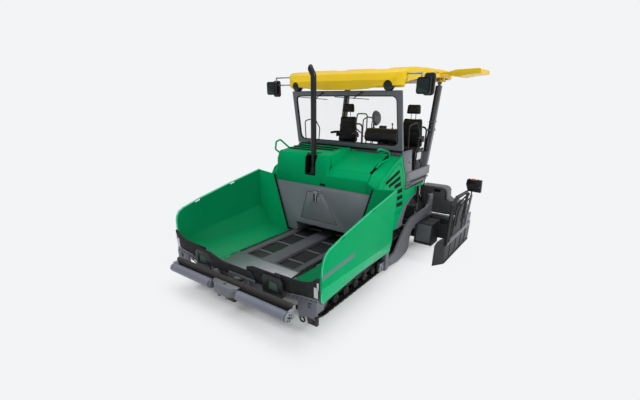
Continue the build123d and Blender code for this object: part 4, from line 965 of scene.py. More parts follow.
# %% Two seats
SEATS = {"left": 0.98, "right": -0.62}     # x of the middle
ARM_OUT = 0.265                            # an armrest's middle from the seat's
DECK_Z, BOX_TOP_Z, BOX_EDGE = 1.64, 1.88, 1.0      # the left seat stands half on a side box
BELLOWS = 5
for name, x in SEATS.items():
    cushion(f"seat_cushion_{name}", (x - 0.24, 1.12, 2.205), (x + 0.24, 1.60, 2.33),
            channels=(-0.4, 0.1, 0.6))
    cushion(f"seat_back_{name}", (x - 0.26, 1.540, 2.31), (x + 0.26, 1.655, 2.88), face="-y",
            channels=(-0.45, 0.05, 0.5), taper=0.24, radius=0.055)
    cushion(f"seat_headrest_{name}", (x - 0.155, 1.54, 2.965), (x + 0.155, 1.645, 3.155), face="-y",
            crown=0.015, taper=0.12, radius=0.05)
    bm = bmesh.new()
    # pan, backrest shell, headrest posts, armrest arms
    box_at(bm, (x - 0.20, 1.15, 2.175), (x + 0.20, 1.58, 2.207))
    box_at(bm, (x - 0.19, 1.640, 2.26), (x + 0.19, 1.658, 2.80))
    for offset in (-0.05, 0.05):
        bar(bm, (x + offset, 1.60, 2.84), (x + offset, 1.60, 2.99), 0.007, 10)
    for offset in (-ARM_OUT, ARM_OUT):
        box_at(bm, (x + offset - 0.012, 1.50, 2.42), (x + offset + 0.012, 1.64, 2.50))
        bar(bm, (x + offset * 0.8, 1.63, 2.46), (x + offset * 1.05, 1.63, 2.46), 0.014, 12)
    piece(f"seat_shell_{name}", bm, BLACK_PLASTIC, "tractor", width=0.006)
    for offset in (-ARM_OUT, ARM_OUT):
        mark = "outer" if offset * x > 0 else "inner"
        cushion(f"seat_armrest_{name}_{mark}", (x + offset - 0.03, 1.27, 2.50),
                (x + offset + 0.03, 1.60, 2.55), crown=0.008, radius=0.02)
    # bellows of the sprung base
    bm = bmesh.new()
    for number in range(BELLOWS):
        z0 = 2.02 + number * 0.031
        box_at(bm, (x - 0.15, 1.24, z0), (x + 0.15, 1.51, z0 + 0.026))
    piece(f"seat_bellows_{name}", bm, RUBBER, "tractor", width=0.010)
    bm = bmesh.new()
    feet = ((x - 0.09, x + 0.09, DECK_Z),)
    if name == "left":
        feet = ((x - 0.09, BOX_EDGE, DECK_Z), (BOX_EDGE, x + 0.09, BOX_TOP_Z))
    for x0, x1, z in feet:
        box_at(bm, (x0, 1.25, z), (x1, 1.50, 2.03))
    box_at(bm, (x - 0.16, 1.22, 1.995), (x + 0.16, 1.53, 2.018))
    piece(f"seat_foot_{name}", bm, BLACK_METAL, "tractor", width=0.004)
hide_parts("seats")
print("two seats")

# %% Deck, boxes and side plates
soften("platform", FRAME_GREY, 0.004, parts=[
    (BLACK_PLASTIC, lambda middle, normal: middle.z > 1.8815 and middle.y > 1.285)])
soften("handrails", BLACK_METAL, 0.0)
soften("rear_posts", FRAME_GREY, 0.004)
bm = bmesh.new()
for side, _ in SIDES:
    side_box(bm, side, (1.2752, 0.845, 2.03), (1.2775, 0.925, 2.15))
piece("cheek_locks", bm, LIGHT_GREY, "tractor", width=0.001, segments=1)
CHEEK_FACE = 1.2745                        # outer face of the plates beside the windscreen
bm = bmesh.new()
for side, _ in SIDES:
    side_box(bm, side, (1.2772, 0.862, 2.055), (1.2786, 0.908, 2.125))
    # screws along the top and rear edges of the plate
    for y, z in ((0.60, 2.30), (0.72, 2.30), (0.86, 2.30), (0.95, 2.30), (1.00, 2.20), (1.03, 2.05)):
        bar(bm, (side * CHEEK_FACE, y, z), (side * 1.2795, y, z), 0.007, 6)
    # dark joints of the side plates; the line at z 1.685 is a painted shadow under the upper plate
    for (ya, za), (yb, zb) in (((0.815, 1.565), (0.815, 1.885)), ((0.815, 1.885), (1.072, 1.885)),
                               ((0.815, 1.685), (1.072, 1.685)), ((0.815, 1.632), (1.072, 1.632))):
        bar(bm, (side * CHEEK_FACE, ya, za), (side * CHEEK_FACE, yb, zb), 0.0065, 6)
    # a black strip in front of the set-back row, painted shade
    side_box(bm, side, (1.2405, 1.078, 1.634), (1.2425, 2.088, 1.688))
piece("cheek_pulls_joints_painted_shade", bm, BLACK_PLASTIC, "tractor")
# chequered steps on the side boxes
bm = bmesh.new()
for side, _ in SIDES:
    for row in range(3):
        for number in range(14):
            x, y = side * (1.06 + row * 0.075), 1.12 + number * 0.07
            turn = Matrix.Rotation(math.radians(45 if (row + number) % 2 else -45), 4, "Z")
            bmesh.ops.create_cube(bm, size=1.0, matrix=Matrix.Translation((x, y, 1.8815)) @ turn
                                  @ Matrix.Diagonal((0.034, 0.010, 0.003, 1.0)))
piece("box_treads", bm, FRAME_GREY, "tractor")
print("deck and boxes")

# %% [markdown]
# The console is a moulded desk. Its top is a dark membrane with keys, a small screen and two
# joysticks. Each key is a little raised pad without any sign on it.

# %% Console
soften("console", BLACK_PLASTIC, 0.012, segments=3)
CONSOLE_EDGE, CONSOLE_TOP = 0.24, 2.69      # x of its inner end, z of its top
bm = bmesh.new()
for number in range(14):
    for row in range(3):
        x, y = CONSOLE_EDGE + 0.06 + number * 0.042, 0.955 + row * 0.035
        box_at(bm, (x, y, CONSOLE_TOP), (x + 0.026, y + 0.022, CONSOLE_TOP + 0.006))
for x in (0.88, 0.92):
    bar(bm, (x, 0.99, CONSOLE_TOP), (x, 0.99, CONSOLE_TOP + 0.018), 0.014, 20, 0.012)
piece("console_keys", bm, LIGHT_GREY, "tractor", width=0.001, segments=1)
bm = bmesh.new()
for x in (0.36, 0.78):
    bar(bm, (x, 1.045, CONSOLE_TOP - 0.002), (x, 1.045, CONSOLE_TOP + 0.022), 0.026, 20, 0.014)
    bar(bm, (x, 1.045, CONSOLE_TOP + 0.02), (x, 1.035, CONSOLE_TOP + 0.085), 0.009, 12)
    bmesh.ops.create_uvsphere(bm, u_segments=16, v_segments=10, radius=0.019,
                              matrix=Matrix.Translation((x, 1.033, CONSOLE_TOP + 0.095)))
box_at(bm, (0.50, 1.00, CONSOLE_TOP), (0.64, 1.07, CONSOLE_TOP + 0.055))
# skirt between the desk and the sill
box_at(bm, (0.62, 1.03, 2.29), (0.95, 1.09, 2.435))
piece("console_levers", bm, BLACK_PLASTIC, "tractor", width=0.003)
bm = bmesh.new()
box_at(bm, (0.51, 1.0695, CONSOLE_TOP + 0.010), (0.63, 1.0715, CONSOLE_TOP + 0.048))
piece("console_screen", bm, LENS, "tractor")
print("console, keys and levers")

# %% Round mirror and the inner rails
bm = bmesh.new()
bar(bm, (0.375, 1.095, 2.885), (0.420, 1.093, 2.890), 0.146, 40, 0.120)
bar(bm, (0.358, 1.096, 2.883), (0.375, 1.095, 2.885), 0.150, 40)
for number in range(6):
    across, up = math.cos(math.tau * number / 6), math.sin(math.tau * number / 6)
    bar(bm, (0.415, 1.093 + 0.04 * across, 2.89 + 0.04 * up),
        (0.408, 1.093 + 0.11 * across, 2.89 + 0.11 * up), 0.007, 6)
piece("round_mirror_shell", bm, MIRROR_GREY, "tractor", width=0.006)
bm = bmesh.new()
bent_tube(bm, ((0.37, 1.10, 2.88), (0.30, 1.20, 2.86), (0.22, 1.20, 2.80), (0.22, 1.20, DECK_Z)),
          0.011, 0.03, 8, 4)
bent_tube(bm, ((-0.29, 1.90, DECK_Z), (-0.29, 1.90, 2.93), (-0.56, 1.90, 2.93), (-0.60, 1.90, 2.60),
               (-0.44, 1.90, 2.50)), 0.015, 0.06, 10, 5)
bent_tube(bm, ((-0.42, 1.95, DECK_Z), (-0.42, 1.95, 2.80), (-0.30, 1.95, 2.86), (-0.14, 1.95, 2.84),
               (-0.14, 1.95, DECK_Z)), 0.015, 0.06, 10, 5)
bar(bm, (-0.42, 1.95, 2.42), (-0.14, 1.95, 2.42), 0.011, 10)
piece("inner_rails", bm, FRAME_GREY, "tractor")
# foam that closes the slot between the side boxes and the side panels
bm = bmesh.new()
for side, _ in SIDES:
    side_box(bm, side, (1.225, 0.80, 1.528), (1.245, 1.895, 1.5455))
piece("deck_seal", bm, BLACK_PLASTIC, "tractor")
# white box, levers and two cables at the edge of the platform, outboard of the left seat
bm = bmesh.new()
box_at(bm, (1.238, 1.27, 2.085), (1.268, 1.52, 2.232))
piece("signal_box", bm, WHITE_PLATE, "tractor", width=0.006)
bm = bmesh.new()
box_at(bm, (1.240, 1.32, 2.008), (1.262, 1.47, 2.086))
box_at(bm, (1.236, 1.53, 2.008), (1.266, 1.62, 2.310))
box_at(bm, (1.240, 1.34, 2.231), (1.264, 1.55, 2.300))
for x, y in ((1.246, 1.24), (1.262, 1.20)):
    bent_tube(bm, ((x, y, 2.008), (x, y - 0.01, 2.25), (x - 0.005, y + 0.13, 2.36),
                   (x - 0.005, y + 0.24, 2.28)), 0.011, 0.085, 8, 5)
piece("lever_bank", bm, BLACK_PLASTIC, "tractor", width=0.004, segments=1)
print("rails round the stand")

# %% [markdown]
# ## Windscreen and canopy
#
# The pane keeps its solid and becomes glass. A rubber profile runs round it, which a bent tube makes
# in one go. The roof is a hollow moulding, so its edges get a generous radius, and the two lamps in
# its front edge are turned parts.

# %% Frame, glass and rubber
soften("windscreen_frame", FRAME_GREY, 0.006, segments=3)
dress("windscreen", PANE)
SCREEN_FOOT, SCREEN_HEAD = (0.55, 2.35), (0.34, 3.39)        # y, z
LEAN = math.atan2(SCREEN_FOOT[0] - SCREEN_HEAD[0], SCREEN_HEAD[1] - SCREEN_FOOT[1])
SCREEN_HEIGHT = math.hypot(SCREEN_FOOT[0] - SCREEN_HEAD[0], SCREEN_HEAD[1] - SCREEN_FOOT[1])


def on_screen(x, up, out=0.0):
    """A place on the sloping screen: x across, up from its foot, out towards the hopper."""
    y = SCREEN_FOOT[0] - up * math.sin(LEAN) - out * math.cos(LEAN)
    z = SCREEN_FOOT[1] + up * math.cos(LEAN) - out * math.sin(LEAN)
    return (x, y, z)


bm = bmesh.new()
corners = ((0.0, 0.085), (1.172, 0.085), (1.148, SCREEN_HEIGHT - 0.085), (-1.148, SCREEN_HEIGHT - 0.085),
           (-1.172, 0.085), (0.0, 0.085))
bent_tube(bm, [on_screen(x, up, 0.012) for x, up in corners], 0.014, 0.102, 8, 8)
piece("windscreen_rubber", bm, RUBBER, "tractor")
print("windscreen height", round(SCREEN_HEIGHT, 3))

# %% Wipers
bm = bmesh.new()
for left, right, hub in (((-1.10, 0.962), (-0.34, 0.912), (-0.62, 0.933)),
                         ((-0.16, 0.962), (0.60, 0.922), (0.28, 0.941))):
    bar(bm, on_screen(*left, 0.045), on_screen(*right, 0.045), 0.0075, 6, 0.006)
    x, up = hub
    bar(bm, on_screen(x, up, 0.050), on_screen(x + 0.17, up + 0.10, 0.056), 0.009, 8)
    bar(bm, on_screen(x + 0.17, up + 0.10, 0.030), on_screen(x + 0.17, up + 0.10, 0.066), 0.017, 12)
    bar(bm, on_screen(x, up, 0.040), on_screen(x, up, 0.060), 0.014, 10)
piece("wipers", bm, BLACK_METAL, "tractor")
# rubber that closes the slot below the frame
bm = bmesh.new()
box_at(bm, (-1.238, 0.563, 2.298), (1.238, 0.578, 2.358))
piece("sill_rubber", bm, RUBBER, "tractor", width=0.003, segments=1)
print("wipers parked")

# %% Roof shells
soften("canopy", YELLOW, 0.010, segments=3)
for _, name in SIDES:
    soften(f"side_roof_{name}", YELLOW, 0.006, segments=3)
print("roof shells rounded")

# %% Lamps in the roof's front edge
ROOF_LAMP_X, ROOF_LAMP_Z = 1.03, 3.465
for side, name in SIDES:
    x, z = side * ROOF_LAMP_X, ROOF_LAMP_Z
    bm = bmesh.new()
    bar(bm, (x, 0.300, z), (x, 0.186, z), 0.084, 40)
    bar(bm, (x, 0.186, z), (x, 0.173, z), 0.083, 40, 0.070)
    piece(f"roof_lamp_{name}", bm, BLACK_PLASTIC, "tractor", width=0.003)
    bm = bmesh.new()
    bar(bm, (x, 0.176, z), (x, 0.1705, z), 0.060, 32, 0.052)
    piece(f"roof_lamp_glass_{name}", bm, LENS, "tractor", width=0.002)
print("lamps in the roof edge")

# %% Work lamps on their bars
LAMP_HEADS = {"left": (1.64, 3.465), "right": (-1.80, 3.455)}       # x, z
LAMP_ARM_X, LAMP_ARM_Y = 1.292, 0.359
MIRROR_IN = 0.05                           # the mirror's middle from the lamp's, across
for side, name in SIDES:
    x, z = LAMP_HEADS[name]
    bm = bmesh.new()
    for height in (3.511, 3.654):
        bar(bm, (side * LAMP_ARM_X, LAMP_ARM_Y, height), (x - side * 0.075, LAMP_ARM_Y, height), 0.013, 14)
    post_x = x - side * 0.0775
    bar(bm, (post_x, LAMP_ARM_Y, z - 0.05), (post_x, LAMP_ARM_Y, 3.666), 0.015, 14)
    bars = piece(f"lamp_bars_{name}", bm, GALVANISED, "tractor", width=0.002)
    bm = bmesh.new()
    box_at(bm, (x - 0.110, 0.29, z - 0.13), (x + 0.110, 0.345, z + 0.12))
    for number in range(6):
        up = z - 0.10 + number * 0.038
        box_at(bm, (x - 0.085, 0.34, up), (x + 0.085, 0.362, up + 0.012))
    piece(f"lamp_housing_{name}", bm, BLACK_PLASTIC, "tractor", width=0.016, segments=3)
    bm = bmesh.new()
    plate_round(bm, (x - 0.120, 0.252, z - 0.135), (x + 0.120, 0.292, z + 0.125), 0.045)
    front = [f for f in bm.faces if f.calc_center_median().y < 0.2525]
    bmesh.ops.inset_region(bm, faces=front, thickness=0.020, depth=0.0)
    bmesh.ops.translate(bm, verts=list(front[0].verts), vec=(0, 0.022, 0))
    piece(f"lamp_bezel_{name}", bm, BLACK_PLASTIC, "tractor", width=0.004)
    bm = bmesh.new()
    plate_round(bm, (x - 0.098, 0.262, z - 0.113), (x + 0.098, 0.2735, z + 0.103), 0.030)
    piece(f"lamp_glass_{name}", bm, LENS, "tractor", width=0.002)
    # mirror behind the lamp, looking back along the machine
    bm = bmesh.new()
    middle = x + MIRROR_IN
    foot, head = (z - 0.155, z + 0.195) if side > 0 else (z - 0.175, z + 0.150)
    plate_round(bm, (middle - 0.095, 0.372, foot), (middle + 0.095, 0.425, head), 0.05)
    piece(f"mirror_shell_{name}", bm, BLACK_PLASTIC, "tractor", width=0.014, segments=3)
    bm = bmesh.new()
    plate_round(bm, (middle - 0.078, 0.4245, foot + 0.018), (middle + 0.078, 0.427, head - 0.018), 0.04)
    piece(f"mirror_face_{name}", bm, CHROME, "tractor", width=0.0008, segments=1)
    if name == "left":
        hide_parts("work_lamps")
print("work lamps")

# %% Rails under the roof, and the casings of the rear posts
bm = bmesh.new()
for side, _ in SIDES:
    for y in (2.10, 2.46):
        side_box(bm, side, (1.21, y, 3.60), (1.262, y + 0.04, 3.66))
    bar(bm, (side * 1.215, 0.50, 3.56), (side * 1.215, 2.50, 3.66), 0.014, 12)
# box section round each rear post, with a black strip up its front
channel = bmesh.new()
for side, _ in SIDES:
    for foot, head in (((2.085, 1.902), (2.255, 2.62)), ((2.245, 2.62), (2.400, 3.53))):
        x0, x1 = sorted((side * 1.112, side * 1.222))
        prism(bm, ((foot[0] - 0.050, foot[1]), (foot[0] + 0.055, foot[1]), (head[0] + 0.055, head[1]),
                   (head[0] - 0.050, head[1])), "X", x0, x1)
        prism(channel, ((foot[0] - 0.070, foot[1] + 0.01), (foot[0] - 0.048, foot[1] + 0.01),
                        (head[0] - 0.048, head[1] - 0.01), (head[0] - 0.070, head[1] - 0.01)), "X",
              *sorted((side * 1.114, side * 1.158)))
    # collars round the joint of the two halves
    side_box(bm, side, (1.100, 2.17, 2.60), (1.232, 2.335, 2.655))
    side_box(bm, side, (1.104, 2.20, 2.78), (1.229, 2.360, 2.81))
piece("post_channels", channel, BLACK_METAL, "tractor", width=0.003, segments=1)
piece("roof_rails", bm, FRAME_GREY, "tractor", width=0.002, segments=1)
print("roof finished")

# %% [markdown]
# ## Augers
#
# An auger spreads asphalt with a screw blade on a round shaft. The solid has plain tilted discs in the
# same space. The blade itself is a thin bar, standing on the shaft, that is spun five times round it
# while it moves along: bmesh's spin takes a step along the axis as well as a turn.

# %% Screw blades
AUGER_AXIS, AUGER_R, SHAFT_R = (2.08, 0.32), 0.193, 0.045      # y and z, blade radius, shaft radius
TURNS, STEPS, PITCH = 5, 28, 0.275
for side, name in SIDES:
    y, z = AUGER_AXIS
    bm = bmesh.new()
    start = side * 0.145
    profile = [bm.verts.new((start + dx, y, z + r)) for dx, r in
               ((0.0, SHAFT_R - 0.004), (0.0, AUGER_R), (0.012, AUGER_R), (0.012, SHAFT_R - 0.004))]
    first = bm.faces.new(profile)
    bmesh.ops.spin(bm, geom=list(first.edges), cent=(0, y, z), axis=(1, 0, 0), angle=math.tau * TURNS,
                   steps=STEPS * TURNS, dvec=(side * PITCH / STEPS, 0, 0), use_duplicate=False)
    open_edges = [e for e in bm.edges if len(e.link_faces) == 1]
    if open_edges:
        bmesh.ops.contextual_create(bm, geom=open_edges)
    bar(bm, (side * 0.131, y, z), (side * 1.559, y, z), SHAFT_R, 28)
    for x in (0.50, 0.87, 1.24):
        bar(bm, (side * x, y, z), (side * (x + 0.05), y, z), SHAFT_R + 0.012, 28)
    blade = piece(f"auger_screw_{name}", bm, WORN_STEEL, f"auger_{name}")
    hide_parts(f"auger_{name}")
print("augers:", TURNS, "turns each")
soften("auger_drive", DARK_GREY, 0.005)

# %% [markdown]
# ## Tow arms, screed and end gates
#
# The screed hangs on two cranked arms. Its covers are folded sheet with bolted flanges, so most of
# what makes it real is small: flanges, bolt heads, ribs, doors and the hose runs. A hose is clamped
# at both ends here, so each is a bent tube.

# %% Arms, their pivots and the levelling columns
soften("tow_arms", ARM_GREY, 0.006)
soften("tow_points", FRAME_GREY, 0.004)
ARM_FACE = 1.361
bm = bmesh.new()
for side, _ in SIDES:
    for y, z, r in ((0.23, 0.16, 0.055), (2.32, 0.90, 0.03), (2.32, 1.05, 0.03)):
        bar(bm, (side * (ARM_FACE - 0.001), y, z), (side * (ARM_FACE + 0.010), y, z), r, 28, r * 0.9)
        bar(bm, (side * (ARM_FACE + 0.009), y, z), (side * (ARM_FACE + 0.015), y, z), r * 0.5, 6)
piece("tow_arm_pins", bm, ARM_GREY, "screed", width=0.0015, segments=1)
BLOCK_FACE = 1.344
bm = bmesh.new()
for side, _ in SIDES:
    # guide block ahead of the levelling column, with its bolts
    side_box(bm, side, (1.277, -0.22, 0.10), (1.345, -0.032, 0.27))
    for y in (-0.19, -0.126, -0.06):
        for z in (0.125, 0.245):
            bar(bm, (side * BLOCK_FACE, y, z), (side * 1.354, y, z), 0.012, 6)
    bar(bm, (side * BLOCK_FACE, -0.126, 0.185), (side * 1.362, -0.126, 0.185), 0.045, 28, 0.04)
piece("levelling_blocks", bm, GALVANISED, "tractor", width=0.004)
for _, name in SIDES:
    for stem, finish in (("wing_cylinder", CHROME), ("lift_cylinder", ROD_STEEL)):
        soften(f"{stem}_barrel_{name}", BLACK_METAL, 0.0015)
        soften(f"{stem}_rod_{name}", finish, 0.0008)
print("arms and cylinders")

# %% Screed body
soften("screed_base", DARK_GREY, 0.006, parts=[
    (SCREED_GREY, lambda middle, normal: middle.z > 0.62)])
for side, name in SIDES:
    soften(f"extension_{name}", SCREED_GREY, 0.007)
    soften(f"guide_tube_{name}", CHROME, 0.0)
    soften(f"end_gate_{name}", GATE_GREY, 0.003, parts=[
        # beam, mast, then the loop and the control box
        (FRAME_GREY, lambda middle, normal, side=side: 0.44 < middle.z < 0.742 and side * middle.x > 2.179
         and middle.y > 1.25),
        (ARM_GREY, lambda middle, normal, side=side: 0.53 < middle.z < 1.235 and side * middle.x > 2.168
         and middle.y > 2.39),
        (BLACK_METAL, lambda middle, normal: middle.z > 0.745 and middle.y < 2.38),
        (BLACK_PLASTIC, lambda middle, normal: middle.z > 1.2355 and middle.y > 2.40)])
print("screed body")

# %% Bolt heads
BOLT_R = 0.008


def bolt_row(bm, start, end, count, out=(0, -1, 0), proud=0.007):
    """Hexagon heads along a line."""
    start, end, out = Vector(start), Vector(end), Vector(out)
    for number in range(count):
        at = start.lerp(end, number / max(count - 1, 1))
        bar(bm, at - out * 0.002, at + out * proud, BOLT_R, 6)


# %% Extension boxes: flanges, bolts, steps and the front cover
EXT_FRONT = 2.64
for side, name in SIDES:
    body = f"extension_{name}"
    bm = bmesh.new()
    # folded flange round the front of the drive box, and two stiffening ribs
    outline = ((0.99, 1.27), (1.475, 1.27), (1.55, 1.25), (1.59, 1.20), (1.606, 1.035), (1.69, 0.975),
               (1.95, 0.968), (2.02, 0.93), (2.042, 0.86), (2.042, 0.52))
    for (xa, za), (xb, zb) in zip(outline, outline[1:]):
        bar(bm, (side * xa, EXT_FRONT + 0.001, za), (side * xb, EXT_FRONT + 0.001, zb), 0.007, 8)
    for x in (1.18, 1.42):
        side_box(bm, side, (x, EXT_FRONT + 0.0005, 0.56), (x + 0.012, EXT_FRONT + 0.03, 1.22))
    piece(f"extension_flange_{name}", bm, SCREED_GREY, body)
    # handle slot and the end of the drive box, both painted near-black as shade
    bm = bmesh.new()
    x0, x1 = sorted((side * 1.285, side * 1.455))
    plate_round(bm, (x0, EXT_FRONT - 0.0015, 1.165), (x1, EXT_FRONT + 0.001, 1.235), 0.034)
    side_box(bm, side, (1.575, EXT_FRONT - 0.0015, 0.98), (1.598, EXT_FRONT + 0.001, 1.185))
    piece(f"extension_slot_painted_shade_{name}", bm, PAINTED_SHADE_BLACK, body)
    # second guide rod below the tube
    bm = bmesh.new()
    bar(bm, (side * 1.20, 2.50, 0.585), (side * 2.149, 2.50, 0.585), 0.021, 20)
    piece(f"guide_rod_{name}", bm, GALVANISED, body)
    bm = bmesh.new()
    bolt_row(bm, (side * 1.03, EXT_FRONT, 1.235), (side * 1.46, EXT_FRONT, 1.235), 7)
    bolt_row(bm, (side * 1.70, EXT_FRONT, 0.93), (side * 1.98, EXT_FRONT, 0.93), 5)
    bolt_row(bm, (side * 2.01, EXT_FRONT, 0.56), (side * 2.01, EXT_FRONT, 0.84), 5)
    bolt_row(bm, (side * 1.02, EXT_FRONT, 0.42), (side * 2.10, EXT_FRONT, 0.30), 2)
    piece(f"extension_bolts_{name}", bm, BLACK_METAL, body)
print("drive boxes")

# %% Tunnel end boxes ahead of the screed
for side, name in SIDES:
    bm = bmesh.new()
    side_box(bm, side, (1.265, 1.812, 0.13), (1.605, 1.8195, 0.555))
    piece(f"tunnel_cover_{name}", bm, LIGHT_GREY, "tractor", width=0.002)
    bm = bmesh.new()
    for x in (1.23, 1.625):
        bolt_row(bm, (side * x, 1.82, 0.10), (side * x, 1.82, 0.57), 6, out=(0, -1, 0), proud=0.006)
    piece(f"tunnel_cover_bolts_{name}", bm, BLACK_METAL, "tractor")
# hoses from the underside of the platform down to the tunnel end boxes, in two rows
HOSES, HOSE_R, HOSE_BEND = 10, 0.016, 0.13
for side, name in SIDES:
    bm = bmesh.new()
    for number in range(HOSES):
        x, y = side * (0.990 + number * 0.029), 1.930 + (number % 2) * 0.030
        end_x, end_y = side * 1.244, 1.870 + number * 0.040
        bent_tube(bm, ((x, y, 1.634), (x, y, 1.240), (end_x, end_y, 0.860), (end_x, end_y, 0.604)),
                  HOSE_R, HOSE_BEND, 8, 5)
    piece(f"rear_hoses_{name}", bm, HOSE, "tractor")
print("tunnel covers")

# %% End gates
GATE_IN, GATE_OUT = 2.15, 2.175            # x of the plate's two faces
GATE_HOSE_R = 0.0115
for side, name in SIDES:
    body = f"extension_{name}"
    bm = bmesh.new()
    x0, x1 = GATE_OUT - 0.001, GATE_OUT + 0.010
    # skid along the foot, and stiffeners on the face
    side_box(bm, side, (x0, 1.16, 0.004), (x1, 2.99, 0.045))
    for y in (1.45, 1.85, 2.25, 2.62):
        side_box(bm, side, (x0, y, 0.045), (x1, y + 0.05, 0.42))
    piece(f"gate_ribs_{name}", bm, GATE_GREY, body, width=0.003)
    # sleeve round the guard, and a second hoop inside it
    bm = bmesh.new()
    x = side * (GATE_IN + 0.03)
    bent_tube(bm, ((x, 1.230, 0.54), (x, 1.230, 1.25), (x, 1.42, 1.395), (x, 2.14, 1.395), (x, 2.14, 0.54)),
              0.014, 0.08, 10, 6)
    bar(bm, (x, 1.110, 0.60), (x, 1.110, 1.20), 0.026, 14)
    bar(bm, (x, 2.250, 0.62), (x, 2.250, 1.30), 0.024, 14)
    piece(f"guard_hoop_{name}", bm, BLACK_METAL, body)
    # hoses that arch from the control box down into the gate's beam
    bm = bmesh.new()
    for number in range(5):
        x, low = side * (GATE_IN + 0.016 + 0.024 * (number % 2)), 0.075 * number
        bent_tube(bm, ((x, 2.375, 1.300), (x, 2.300, 1.345 - low * 0.35), (x, 1.500 + low, 1.350 - low),
                       (x, 1.330 + low * 1.25, 1.150 - low * 0.7), (x, 1.330 + low * 1.25, 0.735)),
                  GATE_HOSE_R, 0.11, 8, 5)
    for number in range(3):
        x, near = side * (GATE_IN + 0.022 + 0.020 * (number % 2)), 0.055 * number
        bent_tube(bm, ((x, 2.380, 1.240 - near), (x, 2.200 - near, 1.120 - near), (x, 2.080 - near, 0.735)),
                  GATE_HOSE_R, 0.10, 8, 5)
    piece(f"gate_hoses_{name}", bm, HOSE, body)
    bm = bmesh.new()
    for x, y0, y1, z, count in ((GATE_OUT, 1.25, 2.9, 0.40, 9), (GATE_IN + 0.06, 1.32, 2.80, 0.49, 8)):
        bolt_row(bm, (side * x, y0, z), (side * x, y1, z), count, out=(side, 0, 0))
    piece(f"gate_bolts_{name}", bm, BLACK_METAL, body)
print("end gates")

# %% Walkway, cabinet doors and crown screws on the middle of the screed
bm = bmesh.new()
box_at(bm, (-0.56, 2.634, 0.400), (0.56, 2.660, 0.460))
box_at(bm, (-0.56, 2.945, 0.415), (0.56, 2.972, 0.460))
for x in (-0.56, -0.19, 0.165, 0.535):
    box_at(bm, (x, 2.655, 0.415), (x + 0.025, 2.950, 0.455))
    prism(bm, ((2.634, 0.20), (2.650, 0.20), (2.940, 0.418), (2.634, 0.418)), "X", x + 0.006, x + 0.018)
for number in range(7):
    box_at(bm, (-0.55, 2.685 + number * 0.037, 0.430), (0.55, 2.691 + number * 0.037, 0.456))
piece("screed_walkway", bm, GUARD_GREY, "screed", width=0.002, segments=1)
bm = bmesh.new()
for x0, x1 in ((-0.90, -0.47), (-0.45, -0.01), (0.01, 0.45), (0.47, 0.90)):
    box_at(bm, (x0, 2.6295, 0.82), (x1, 2.6335, 1.17))
piece("screed_doors", bm, ARM_GREY, "screed", width=0.0015, segments=1)
bm = bmesh.new()
for x in (-0.52, -0.06, 0.06, 0.52):
    box_at(bm, (x - 0.012, 2.633, 0.955), (x + 0.012, 2.6345, 1.035))
for side, _ in SIDES:
    bar(bm, (side * 0.30, 2.69, 0.56), (side * 0.02, 2.69, 0.56), 0.016, 12)
    bar(bm, (side * 0.30, 2.634, 0.56), (side * 0.30, 2.71, 0.56), 0.030, 16)
bar(bm, (-0.05, 2.69, 0.56), (0.05, 2.69, 0.56), 0.028, 6)
piece("crown_screws", bm, BLACK_METAL, "screed")
print("rear of the screed")

# %% Control boxes on their masts
for side, name in SIDES:
    body = f"extension_{name}"
    bm = bmesh.new()
    # knobs on the rear face, where the operator walks
    for row in range(3):
        for number in range(5):
            x, z = 2.13 + number * 0.042, 1.475 + row * 0.036
            bar(bm, (side * x, 2.569, z), (side * x, 2.580, z), 0.011, 14, 0.009)
    piece(f"control_knobs_{name}", bm, LIGHT_GREY, body)
    # lamp on top
    bm = bmesh.new()
    bar(bm, (side * 2.19, 2.52, 1.588), (side * 2.19, 2.52, 1.606), 0.052, 28, 0.045)
    piece(f"control_lamp_{name}", bm, AMBER, body, width=0.004)
    # two switches beside it, and a plate on the front
    bm = bmesh.new()
    for x in (2.10, 2.29):
        bar(bm, (side * x, 2.52, 1.588), (side * x, 2.52, 1.604), 0.018, 16, 0.015)
    prism(bm, [(side * x, z) for x, z in ((2.085, 1.50), (2.09, 1.575), (2.345, 1.575), (2.35, 1.50))],
          "Y", 2.4655, 2.4705)
    piece(f"control_face_{name}", bm, BLACK_METAL, body, width=0.002)
print("control boxes")

# %% [markdown]
# ## Light, floor and camera
#
# One broad sun from the machine's left and a softer one from overhead are enough for painted steel,
# with a pale sky to fill the shade. What the camera sees of that sky, straight or through the pane,
# is nearly white. The floor is as pale away from the machine and darker under and beside it, so that
# the machine stands on nothing but its own shadow.

# %% Sky and lamps
BACKDROP = tone(243, 244, 246)
world = bpy.data.worlds.new("studio")
bpy.context.scene.world = world
world.use_nodes = True
sky = world.node_tree
fill = sky.nodes["Background"]
fill.inputs["Color"].default_value = (0.93, 0.96, 1.0, 1.0)
fill.inputs["Strength"].default_value = 0.5                     # what lights the machine
seen = sky.nodes.new("ShaderNodeBackground")
seen.inputs["Color"].default_value = BACKDROP
path = sky.nodes.new("ShaderNodeLightPath")
either = sky.nodes.new("ShaderNodeMath")
either.operation = "MAXIMUM"
sky.links.new(path.outputs["Is Camera Ray"], either.inputs[0])
sky.links.new(path.outputs["Is Transmission Ray"], either.inputs[1])
blend_sky = sky.nodes.new("ShaderNodeMixShader")
sky.links.new(either.outputs[0], blend_sky.inputs[0])
sky.links.new(fill.outputs[0], blend_sky.inputs[1])
sky.links.new(seen.outputs[0], blend_sky.inputs[2])
sky.links.new(blend_sky.outputs[0], sky.nodes["World Output"].inputs["Surface"])


def sun(name, toward, strength, spread):
    lamp = bpy.data.lights.new(name, "SUN")
    lamp.energy = strength
    lamp.angle = math.radians(spread)
    holder = bpy.data.objects.new(name, lamp)
    holder.rotation_euler = Vector(toward).to_track_quat("Z", "Y").to_euler()
    bpy.context.scene.collection.objects.link(holder)


